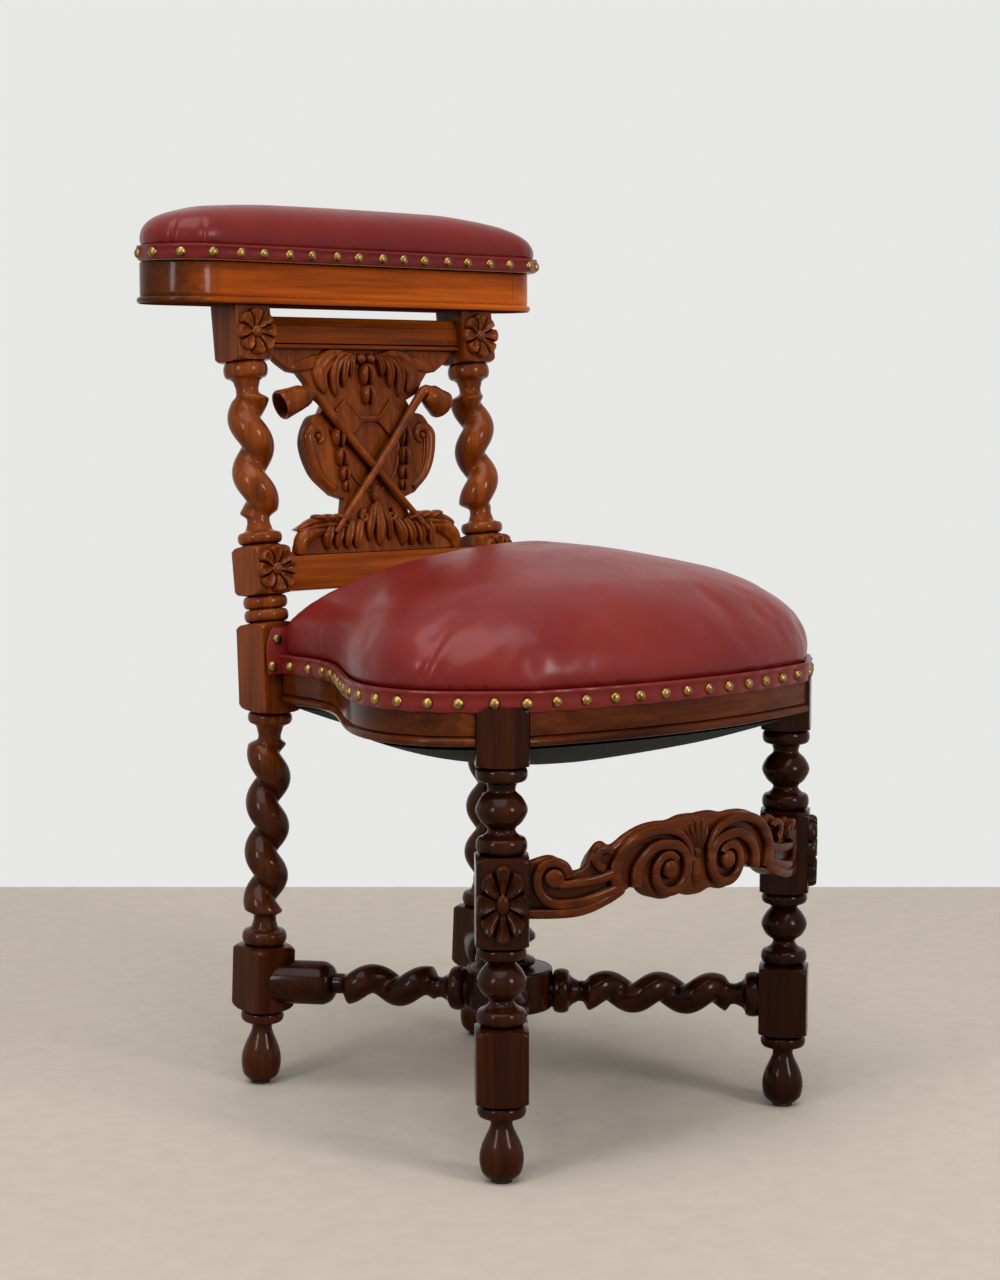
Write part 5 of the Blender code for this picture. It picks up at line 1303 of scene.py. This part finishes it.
def flow(*knots):
    """A flowing path of (along, height) on the stretcher."""
    return [Vector((point.x, 0, point.y)) for point in smooth(knots, 9)]


def stretcher_scrolls(shape, side):
    """The big volute with the band over it, the hook, the end scroll and the reeded arm."""
    back = FRONT_STRETCHER / 2

    def roll(path, start, end):
        radii = tapered(path, start, end)
        placed = [Vector((side * p.x, r - back, p.z)) for p, r in zip(path, radii)]
        tube(shape, placed, radii, on_bow, 20, 0.62)

    volute = (0.0347, 0.2505)
    curl = spiral(volute, (0.0210, 0.0100), 0.60 * math.pi, 2.15 * math.pi, 0.0, 90, 1.8)
    rising = ((0.0709, 0.2400), (0.0700, 0.2540), (0.0600, 0.2665), (0.0460, 0.2722))
    reach = flow(*rising, (curl[0].x, curl[0].z))
    roll([*reach[:-1], *curl], 0.0050, 0.0036)
    over = ((0.0880, 0.2370), (0.0915, 0.2560), (0.0800, 0.2745), (0.0620, 0.2835), (0.0411, 0.2845))
    roll(flow(*over, (0.0230, 0.2785), (0.0125, 0.2665), (0.0110, 0.2540)), 0.0060, 0.0022)
    hook = spiral((0.1015, 0.2670), (0.0080, 0.0070), -0.45 * math.pi, 1.25 * math.pi, 0.0, 40)
    roll(hook, 0.0036, 0.0028)
    lower = ((0.0880, 0.2415), (0.1080, 0.2355), (0.1260, 0.2318), (0.1440, 0.2325))
    end = ((0.1540, 0.2415), (0.1560, 0.2540), (0.1510, 0.2635))
    hooked = ((0.1425, 0.2662), (0.1345, 0.2625), (0.1310, 0.2540))
    roll(flow(*lower, *end, *hooked), 0.0044, 0.0038)
    roll(flow((0.0930, 0.2535), (0.1120, 0.2495), (0.1395, 0.2475)), 0.0046, 0.0034)
    roll(flow((0.0860, 0.2395), (0.1000, 0.2325), (0.1250, 0.2247), (0.1640, 0.2242)), 0.0042, 0.0040)
    for along, height, radius in ((0.1425, 0.2530, 0.0086), (*volute, 0.0085)):
        dome(shape, Vector((side * along, 0.0065 - back, height)), radius, 0.0070, on_bow, 36, 0.3)


def front_stretcher():
    """The bowed stretcher between the front legs, with scrolls and a shell in the middle."""
    shape = Shape()
    stretcher_body(shape)
    ground = STRETCHER_RELIEF - FRONT_STRETCHER / 2 + 0.001
    inner = ((0.0025, 0.2630), (0.0050, 0.2740), (0.0080, 0.2890))
    outer = ((0.0040, 0.2620), (0.0085, 0.2710), (0.0130, 0.2820))
    for side in (-1, 1):
        stretcher_scrolls(shape, side)
        leaf(shape, inner, 0.0034, 0.0048, ground, on_bow, side, 1)
        leaf(shape, outer, 0.0030, 0.0042, ground, on_bow, side, 1)
    leaf(shape, ((0.0, 0.2630), (0.0, 0.2760), (0.0, 0.2920)), 0.0036, 0.0050, ground, on_bow, 1, 1)
    leaf(shape, ((0.0, 0.2580), (0.0, 0.2440), (0.0, 0.2285)), 0.0070, 0.0046, ground, on_bow, 1, 2)
    dome(shape, Vector((0.0, ground, 0.2605)), 0.0050, 0.0052, on_bow)
    shape.piece("carved_stretcher", RUSSET_OAK, "varnished_oak", ["front_stretcher"], sharp=50)


# Tobacco box and lid


def stadium(half, radius, centre_y, arc=STADIUM_ARC, straight=60):
    """Stations round a bar with half-round ends."""
    stations = []
    for side in (1, -1):
        for k in range(arc + 1):
            angle = math.pi * k / arc - math.pi / 2
            normal = Vector((side * math.cos(angle), side * math.sin(angle), 0))
            stations.append((Vector((side * (half - radius), centre_y, 0)) + normal * radius, normal))
        for k in range(1, straight):
            x = blend(half - radius, radius - half, k / straight)
            stations.append((Vector((side * x, centre_y + side * radius, 0)), Vector((0, side, 0))))
    return stations


def slab(stations, profile):
    """A board with a moulded edge: rings of the outline, each set in by a depth at a height."""
    return Shape().loft([[set_in(at, *spot) for at in stations] for spot in profile])


def tobacco_box():
    outline = stadium(BOX_HALF, BOX_RADIUS, BOX_Y)
    top = BOX_LOW + BOX_FLOOR
    bead = beading(0.0, BOX_LIP, BOX_BEAD, BOX_LOW, -80, 80, 10)
    quirk = ((0.0004, BOX_LOW + 0.0066), (0.0002, BOX_LOW + 0.0070), (0.0002, top))
    floor_board = slab(outline, ((0.002, BOX_LOW), *bead, *quirk))
    made = floor_board.piece("beaded_box_floor", HONEY_OAK, "honey_oak", ["box_floor"])
    # Faces that point down take the unvarnished oak, whose darker colour is painted shade underneath the
    # box.
    made.data.materials.append(BARE_SHADED_OAK)
    for face in made.data.polygons:
        face.material_index = int(face.normal.z < -0.9)
    low = top - 0.0004
    lip = ((0.0, BOX_HIGH - 0.0014), (0.0004, BOX_HIGH - 0.0004), (0.0014, BOX_HIGH))
    section = ((0.0, low), *lip, (BOX_WALL, BOX_HIGH), (BOX_WALL, low))
    half = len(outline) // 2
    ends = {"right": outline[: STADIUM_ARC + 1], "left": outline[half : half + STADIUM_ARC + 1]}
    for name, run in ends.items():
        swept(run, section).piece(f"bent_box_end_{name}", HONEY_OAK, "honey_oak", [f"box_end_{name}"])
    straight = BOX_HALF - BOX_RADIUS - GAP
    for name, way in (("front", -1), ("back", 1)):
        y = BOX_Y + way * BOX_RADIUS
        run = [(Vector((x, y, 0)), Vector((0, way, 0))) for x in (-straight, straight)]
        swept(run, section).piece(f"straight_box_wall_{name}", HONEY_OAK, "honey_oak", [f"box_wall_{name}"])


def welt(out, z):
    """The folded edge along the top of a leather border, as points of its section."""
    return [(-out - 0.0009, z - 0.0008), (-out - 0.0012, z + 0.0006), (-out - 0.0005, z + 0.0019)]


def near_hinge(point):
    return point.y > LID_Y and abs(abs(point.x) - HINGE_X) < HINGE_CLEAR


def pressed(pad, start, held, cap):
    """Where cloth pressure carries a pad's points, none of them farther than the cap."""
    group = pad.vertex_groups.new(name="held")
    group.add(held, 1.0, "REPLACE")
    cloth = pad.modifiers.new("stuffing", "CLOTH")
    cloth.settings.use_pressure = True
    cloth.settings.uniform_pressure_force = PAD_PRESSURE
    cloth.settings.effector_weights.gravity = 0
    cloth.settings.vertex_group_mass = group.name
    for step in range(1, PAD_STEPS + 1):
        bpy.context.scene.frame_set(step)
    ended = pad.evaluated_get(bpy.context.evaluated_depsgraph_get()).data.vertices
    points = []
    for before, after in zip(start, ended):
        move = after.co - before
        points.append(before + move * min(1.0, cap / max(move.length, 1e-9)))
    pad.modifiers.remove(cloth)
    bpy.context.scene.frame_set(1)
    return points


def stuffed(shape, voxel, cap, is_held):
    """The pad that a shape becomes when it is stuffed: remeshed evenly, swelled and subdivided once."""

    def evaluated():
        return bpy.data.meshes.new_from_object(pad.evaluated_get(bpy.context.evaluated_depsgraph_get()))

    pad = link("pad", shape.mesh("pad"))
    even = pad.modifiers.new("even", "REMESH")
    even.mode = "VOXEL"
    even.voxel_size = voxel
    pad.data = evaluated()
    pad.modifiers.remove(even)
    points = [vert.co.copy() for vert in pad.data.vertices]
    held = [vert.index for vert in pad.data.vertices if is_held(vert.co, vert.normal)]
    points = pressed(pad, points, held, cap)
    for vert, point in zip(pad.data.vertices, points):
        vert.co = point
    taut = pad.modifiers.new("taut", "SMOOTH")
    taut.iterations = PAD_EVENED
    finer = pad.modifiers.new("finer", "SUBSURF")
    finer.levels = 1
    fine = evaluated()
    bpy.data.objects.remove(pad)
    faces = [tuple(face.vertices) for face in fine.polygons]
    return Shape().add([vert.co.copy() for vert in fine.vertices], faces)


def creased(pad, centre_y, crease):
    """Draws a pad's points in towards its middle by what a crease says at each."""
    for k, point in enumerate(pad.points):
        inward = Vector((-point.x, centre_y - point.y, 0)).normalized()
        pad.points[k] = point + inward * crease(point)


def bell(off, width):
    """A crease's section: 1 in its middle, falling away within a width."""
    return math.exp(-((off / width) ** 2))


def lid_pleat(point):
    """How far the leather draws in at the pleats round the lid's half-round ends."""
    height = (point.z - LID_HIGH) / LID_PAD
    side = 1 if point.x > 0 else -1
    out = point - Vector((side * (LID_HALF - LID_RADIUS), LID_Y, point.z))
    if out.x * side < 0 or height > PLEAT_TOP:
        return 0.0
    turn = math.atan2(out.x, -out.y)
    pleats = 0.0
    for at, deep in LID_PLEATS:
        lean = turn - at - 0.12 * height
        pleats += deep * (bell(lean, 0.050) - 0.4 * bell(lean - 0.11, 0.07))
    return PLEAT_DEPTH * pleats * (1 - max(0.0, height) / PLEAT_TOP) ** 0.6


def end_fall(point, height):
    """How far the pad's top falls away near the lid's ends."""
    near_end = max(0.0, 1 - (LID_HALF - abs(point.x)) / LID_END_RUN)
    fall = LID_END_FALL[1 if point.x > 0 else -1]
    return LID_PAD * max(0.0, height) * fall * near_end**1.5


def lid_pad(outline):
    """The stuffed leather pad on the lid."""
    side = ((0.0000, -0.06), (0.0000, 0.02), (-0.0015, 0.14), (-0.0014, 0.34), (0.0030, 0.60))
    crown = (*side, (0.0110, 0.80), (0.0215, 0.925), (0.0330, 0.985), (0.0430, 1.0))
    rings = []
    for depth, height in smooth(crown, 4):
        ring = []
        for at in outline:
            z = LID_HIGH + (LID_PAD - LID_START) * height - end_fall(at[0], height)
            ring.append(set_in(at, depth + LID_START, z))
        rings.append(ring)
    start = Shape().loft(rings, fold=LID_ARC // 2)
    pad = stuffed(start, LID_VOXEL, LID_CAP, lambda point, normal: point.z < LID_HIGH + 0.005)
    creased(pad, LID_Y, lid_pleat)
    made = pad.piece("leather_lid_pad", HIDE, "burgundy_leather", ["lid_cushion"], "lid", 60)


def lid_border(outline, count, lengths, perimeter):
    """The nailed leather border round the lid's board, in scallops as long as its nails are apart."""
    face = -LEATHER - GAP
    low = ((0.004, LID_LOW + 0.0006), (-LEATHER * 0.6, LID_LOW + 0.0006), (face, LID_LOW + 0.0016))
    fold = (*welt(-face, LID_HIGH - 0.0020), (0.004, LID_HIGH))
    section = (*low, (face, LID_NAIL_Z), (face, LID_HIGH - 0.0036), *fold)
    rings = []
    for at, length in zip(outline, lengths):
        give = SCALLOP * math.cos(math.tau * count * length / perimeter)
        rings.append([set_in(at, depth + (give if depth < -LEATHER else 0.0), z) for depth, z in section])
    border = Shape().loft(rings, closed=True)
    border.piece("leather_lid_border", HIDE, "burgundy_leather", ["lid_band"], "lid", 60)


def lid():
    outline = stadium(LID_HALF, LID_RADIUS, LID_Y, LID_ARC, 110)
    edge = ((0.001, LID_LOW), (0.0, LID_LOW + 0.001), (0.0, LID_HIGH - 0.001), (0.002, LID_HIGH))
    slab(outline, edge).piece("softwood_lid", PINE, "softwood", ["lid_board"], "lid")
    lengths = lengths_along([point for point, _ in outline])
    perimeter = lengths[-1] + (outline[0][0] - outline[-1][0]).length
    count = round(perimeter / LID_NAIL_PITCH)
    lid_pad(outline)
    lid_border(outline, count, lengths, perimeter)
    nails = Shape()
    middle = perimeter - (LID_HALF - LID_RADIUS)
    for k in range(count):
        along = (middle + perimeter * k / count) % perimeter
        at = outline[int(np.searchsorted(lengths, along)) % len(outline)]
        if not near_hinge(at[0]):
            nail(nails, set_in(at, -LEATHER - GAP, LID_NAIL_Z), at[1])
    nails.piece("lid_nails", BRASS, "aged_brass", body="lid")


def nail(shape, place, normal):
    """A domed upholstery nail on its face."""
    at = facing(place, normal)
    rings = []
    for k in range(7):
        tip = math.pi / 2 * (k - 1) / 5.3
        reach = NAIL_RADIUS * (math.cos(tip) if k else 1.0)
        out = NAIL_RISE * math.sin(tip) if k else -NAIL_SINK
        rings.append([at @ Vector((out, reach * math.cos(a), reach * math.sin(a))) for a in ANGLES[::4]])
    shape.loft(rings)


# Seat upholstery


def corner_flaps():
    """The leather turned onto the front of each rear post beside the seat, and its nails."""
    shape = Shape()
    nails = Shape()
    for side in (-1, 1):

        def on_post(out, depth, z):
            face = rear_axis_y(z) - POST_REACH - 0.0004
            return Vector((side * (REAR_POST_X + out), face - depth, z))

        rings = []
        for k in range(13):
            z = blend(BAND_LOW, FLAP_HIGH, k / 12)
            reach = blend(FLAP_REACH, FLAP_TIP, (k / 12) ** 4)
            edge = ((reach, GAP), (reach + 0.0006, LEATHER / 2), (reach, LEATHER))
            section = ((-FLAP_TUCK, GAP), *edge, (-FLAP_TUCK, LEATHER))
            rings.append([on_post(out, depth, z) for out, depth in section])
        shape.loft(rings)
        for out, z in FLAP_NAILS:
            nail(nails, on_post(out, LEATHER, z), Vector((0, -1, 0)))
    shape.piece("leather_corner_flaps", HIDE, "burgundy_leather", sharp=60)
    nails.piece("flap_nails", BRASS, "aged_brass")


def seat_border():
    """The nailed leather border round the seat rail, and its nails."""
    run = seat_run()
    lengths = lengths_along([point for point, _ in run])
    count = round(lengths[-1] / SEAT_NAIL_PITCH)
    rings = []
    for at, length in zip(run, lengths):
        wave = math.cos(math.tau * count * length / lengths[-1])
        low = BAND_LOW - SCALLOP / 2 * wave
        out = LEATHER + SCALLOP * (1 + wave)
        section = [(0.0012, low + 0.001), (-out * 0.7, low), (-out, low + 0.0012), (-out, SEAT_NAIL_Z)]
        section += [(-out, BAND_HIGH - 0.0018), *welt(out, BAND_HIGH), (0.0012, BAND_HIGH + 0.0018)]
        rings.append([set_in(at, *spot) for spot in section])
    Shape().loft(rings).piece("leather_border", HIDE, "burgundy_leather", ["seat_band"], sharp=60)
    nails = Shape()
    for k in range(count):
        place = int(np.searchsorted(lengths, lengths[-1] * (k + 0.5) / count))
        at = run[min(place, len(run) - 1)]
        nail(nails, set_in(at, -LEATHER, SEAT_NAIL_Z), at[1])
    nails.piece("seat_nails", BRASS, "aged_brass")


def seat_loop():
    """The cushion's closed edge: the seat's run, then round the posts and along the back rail."""
    run = [point for point, _ in seat_run()]
    inner = REAR_POST_X - POST_REACH - 2 * GAP
    back = REAR_POST_Y + BACK_RAIL_THICK / 2
    notch = REAR_POST_Y - POST_REACH - 4 * GAP
    corners = [Vector((inner, notch, 0)), Vector((inner, back, 0)), Vector((0, back, 0))]
    right = []
    for a, b in zip(corners, corners[1:]):
        steps = max(2, round((b - a).length / 0.008))
        right += [a.lerp(b, k / steps) for k in range(steps)]
    return [*run, *right, corners[-1], *mirrored(reversed(right))]


def height_kept(point, share):
    """How much of its height the seat keeps as it slopes down to the back rail and, less, to the front."""
    back = max(0.0, (point.y - CROWN_Y) / (REAR_POST_Y - CROWN_Y))
    front = min(1.0, max(0.0, 0.5 + (CROWN_Y - point.y) / FRONT_RUN))
    out = min(1.0, share / FRONT_SHOULDER)
    return (1 - REAR_FALL * (back * share) ** 1.5) * (1 - FRONT_FALL * front * out * out * (3 - 2 * out))


def swell(point, share):
    """The side's swelling over the border, which dies away before the rear posts."""
    if share <= 1.0:
        return share
    fade = (REAR_POST_Y - 2 * POST_REACH - point.y) / POST_SIDE
    return 1.0 + (share - 1.0) * min(1.0, max(0.0, fade))


def rounded_edges(edge, passes):
    """The edge as it rounds off over the legs, from the sharp edge to one averaged this many times."""
    stages = [edge]
    for _ in range(passes):
        last = stages[-1]
        stage = []
        for k, point in enumerate(last):
            mean = (last[k - 1] + point * 2 + last[(k + 1) % len(last)]) / 4
            stage.append(mean if point.y < WAIST_Y else point)
        stages.append(stage)
    return stages


def seat_crease(point):
    """How far the leather draws in at the crease by the left leg and the gathers beside it."""
    height = (point.z - RAIL_HIGH) / CREASE_RISE
    if not 0.0 < height < 1.1 or point.y > CROWN_Y:
        return 0.0
    turn = math.degrees(math.atan2(point.y - CROWN_Y, point.x)) % 360
    across = math.radians(turn - CREASE_TURN - 4.5 * height) * SEAT_HALF
    valley = bell(across, 0.0030) - 0.5 * bell(across - 0.0075, 0.0045)
    drawn = 0.0024 * valley * min(1.0, height * 4) * max(0.0, 1 - height / 1.1) ** 0.4
    for at in GATHER_TURNS:
        across = math.radians(turn - at + 2.0 * height) * SEAT_HALF
        drawn += 0.0010 * bell(across, 0.0026) * max(0.0, 1 - height / 0.45)
    return drawn


def seat_cushion():
    """The crowned leather seat, hollow underneath for its springs."""
    edges = rounded_edges(seat_loop(), EDGE_PASSES)
    centre = Vector((0, CROWN_Y, 0))
    low = RAIL_HIGH + GAP
    rise = CROWN_Z - low
    hollow = HOLLOW_Z - low
    under = ((0.02, hollow), (0.22, hollow), (0.50, hollow * 0.86), (0.70, hollow * 0.52), (0.80, 0.0))
    knots = (
        (0.988, 0.0), (1.014, 0.10), (1.020, 0.20), (1.018, 0.32), (0.990, 0.46),
        (0.92, 0.62), (0.80, 0.78), (0.58, 0.915), (0.30, 0.985), (0.02, 1.0),
    )
    over = [(share, rise * z) for share, z in smooth(knots, 6)]
    rings = []
    for share, z in (*under, *over):
        ring = []
        edge = edges[min(len(edges) - 1, int(len(edges) * z / rise / 0.5))]
        for point in edge:
            kept = min(1.0, max(0.0, (point.y - CROWN_Y) / (WAIST_Y - CROWN_Y)))
            less = SEAT_START * min(1.0, 8 * z / rise) * (1 - kept)
            reach = swell(point, share) - less / SEAT_HALF * share
            height = low + (z - less) * height_kept(point, share)
            ring.append(centre + (point - centre) * reach + UP * height)
        rings.append(ring)

    def is_held(point, normal):
        return point.z < low + 0.010 or normal.z < -0.2 or point.y > WAIST_Y

    pad = stuffed(Shape().loft(rings), SEAT_VOXEL, SEAT_CAP, is_held)
    creased(pad, CROWN_Y, seat_crease)
    cushion = pad.piece("leather_seat", HIDE, "burgundy_leather", ["seat_cushion"], sharp=60)


def dust_cover():
    """A black cloth tacked under the frame, sagging with the webbing."""
    inset = RAIL_THICK * 0.45
    run = [point - normal * inset for point, normal in seat_run()[::3]]
    inner = REAR_POST_X - POST_REACH - 2 * GAP
    right = [Vector((inner, run[-1].y, 0)), Vector((inner, REAR_POST_Y, 0))]
    edge = [*run, *right, Vector((0, REAR_POST_Y, 0)), *mirrored(reversed(right))]
    centre = Vector((0, CROWN_Y, 0))
    rings = []
    for k in range(14):
        share = 0.04 + 0.96 * k / 13
        ring = []
        for point in edge:
            at = centre + (point - centre) * share
            ripple = COVER_RIPPLE * noise.noise(at * 18)
            ring.append(at + UP * (COVER_RIM - (COVER_SAG + ripple) * (1 - share * share)))
        rings.append(ring)
    faces = [tuple(range(len(edge))), *skin(len(rings), len(edge))]
    shape = Shape().add([point for ring in rings for point in ring], faces)
    cover = shape.piece("lining_cloth", BLACK_CLOTH, "black_cloth", ["dust_cover"])
    area = abs(sum(a.x * b.y - b.x * a.y for a, b in zip(edge, [*edge[1:], edge[0]]))) / 2


def dress_kept_parts():
    """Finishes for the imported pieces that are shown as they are."""
    looks = {"glide": IRON, "hinge": BRASS, "spring": STEEL, "webbing": JUTE, "back_seat_rail": AMBER_OAK}
    for name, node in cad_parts.items():
        for start, look in looks.items():
            if name.startswith(start):
                node.data.materials.clear()
                node.data.materials.append(look)


# Stage


def lamp(name, kind, place, target, power, **settings):
    """A light that shines from its place towards its target."""
    data = bpy.data.lights.new(name, kind)
    data.energy = power
    for key, value in settings.items():
        setattr(data, key, value)
    made = link(name, data)
    made.location = place
    made.rotation_euler = (Vector(target) - Vector(place)).to_track_quat("-Z", "Y").to_euler()


def floor():
    finish = Finish("pale_floor")
    specks = finish.noise(finish.place(), 40.0, 3.0)
    colour = finish.ramp(specks, (0.3, (0.42, 0.365, 0.305)), (0.7, (0.46, 0.40, 0.335)))
    look = finish.set(Base_Color=colour, Roughness=0.75, Specular_IOR_Level=0.2)
    mesh = bpy.data.meshes.new("floor")
    turn = Matrix.Rotation(-CAMERA_TURN, 3, "Z") * FLOOR_REACH
    corners = [turn @ Vector((x, y, 0)) for x, y in ((-1, -1), (1, -1), (1, 1), (-1, 1))]
    mesh.from_pydata(corners, [], [(0, 1, 2, 3)])
    mesh.materials.append(look)
    link("floor", mesh)


def sky():
    """A dim room with a pale wall behind the chair, which the camera and reflections see all round."""
    world = bpy.data.worlds.new("studio")
    bpy.context.scene.world = world
    nodes = Nodes(world)
    room = nodes.tree.nodes["Background"]
    nodes.feed(room.inputs["Color"], ROOM_TINT)
    nodes.feed(room.inputs["Strength"], ROOM_STRENGTH)
    wall = nodes.node("ShaderNodeBackground", {"Color": WALL_TINT})
    way = nodes.node("ShaderNodeTexCoord").outputs["Generated"]
    ahead = (math.sin(CAMERA_TURN), math.cos(CAMERA_TURN), 0.0)
    toward = nodes.node("ShaderNodeVectorMath", {0: way, 1: ahead}, operation="DOT_PRODUCT")
    inputs = {"Value": toward.outputs["Value"], "From Min": 0.35, "From Max": 0.75}
    seen = nodes.node("ShaderNodeMapRange", inputs).outputs["Result"]
    rays = nodes.node("ShaderNodeLightPath")
    for ray in ("Is Camera Ray", "Is Glossy Ray", "Is Transmission Ray"):
        either = {0: seen, 1: rays.outputs[ray]}
        seen = nodes.node("ShaderNodeMath", either, operation="MAXIMUM").outputs[0]
    mix = nodes.node("ShaderNodeMixShader", {"Fac": seen, 1: room.outputs[0], 2: wall.outputs[0]})
    nodes.feed(nodes.tree.nodes["World Output"].inputs["Surface"], mix.outputs[0])


def studio():
    sky()
    lamp("overhead", "SUN", (-0.28, -0.20, 0.94), (0, 0, 0), 2.6, angle=SUN_SPREAD)
    panel = {"shape": "RECTANGLE", "size_y": 0.8}
    lamp("window", "AREA", (-2.3, -0.4, 1.25), (0, 0, 0.45), 18, size=0.4, **panel)
    lamp("doorway", "AREA", (0.2, -2.5, 1.25), (0, 0, 0.50), 30, size=0.5, **panel)


def camera():
    data = bpy.data.cameras.new("camera")
    data.lens = CAMERA_LENS
    data.sensor_width = SENSOR_WIDTH
    made = link("camera", data)
    made.location = CAMERA_PLACE
    made.rotation_euler = (CAMERA_PITCH, 0, -CAMERA_TURN)
    bpy.context.scene.camera = made
    bpy.context.scene.view_settings.view_transform = "Standard"


for side in (-1, 1):
    front_leg(side)
    rear_post(side)
    front_arm(side)
    rear_arm(side)
hub()
seat_rails()
back_rails()
splat()
pipe(-1, 0.0)
pipe(1, PIPE_RADII[5])
rosettes()
front_stretcher()
tobacco_box()
lid()
seat_border()
corner_flaps()
seat_cushion()
dust_cover()
dress_kept_parts()
floor()
studio()
camera()
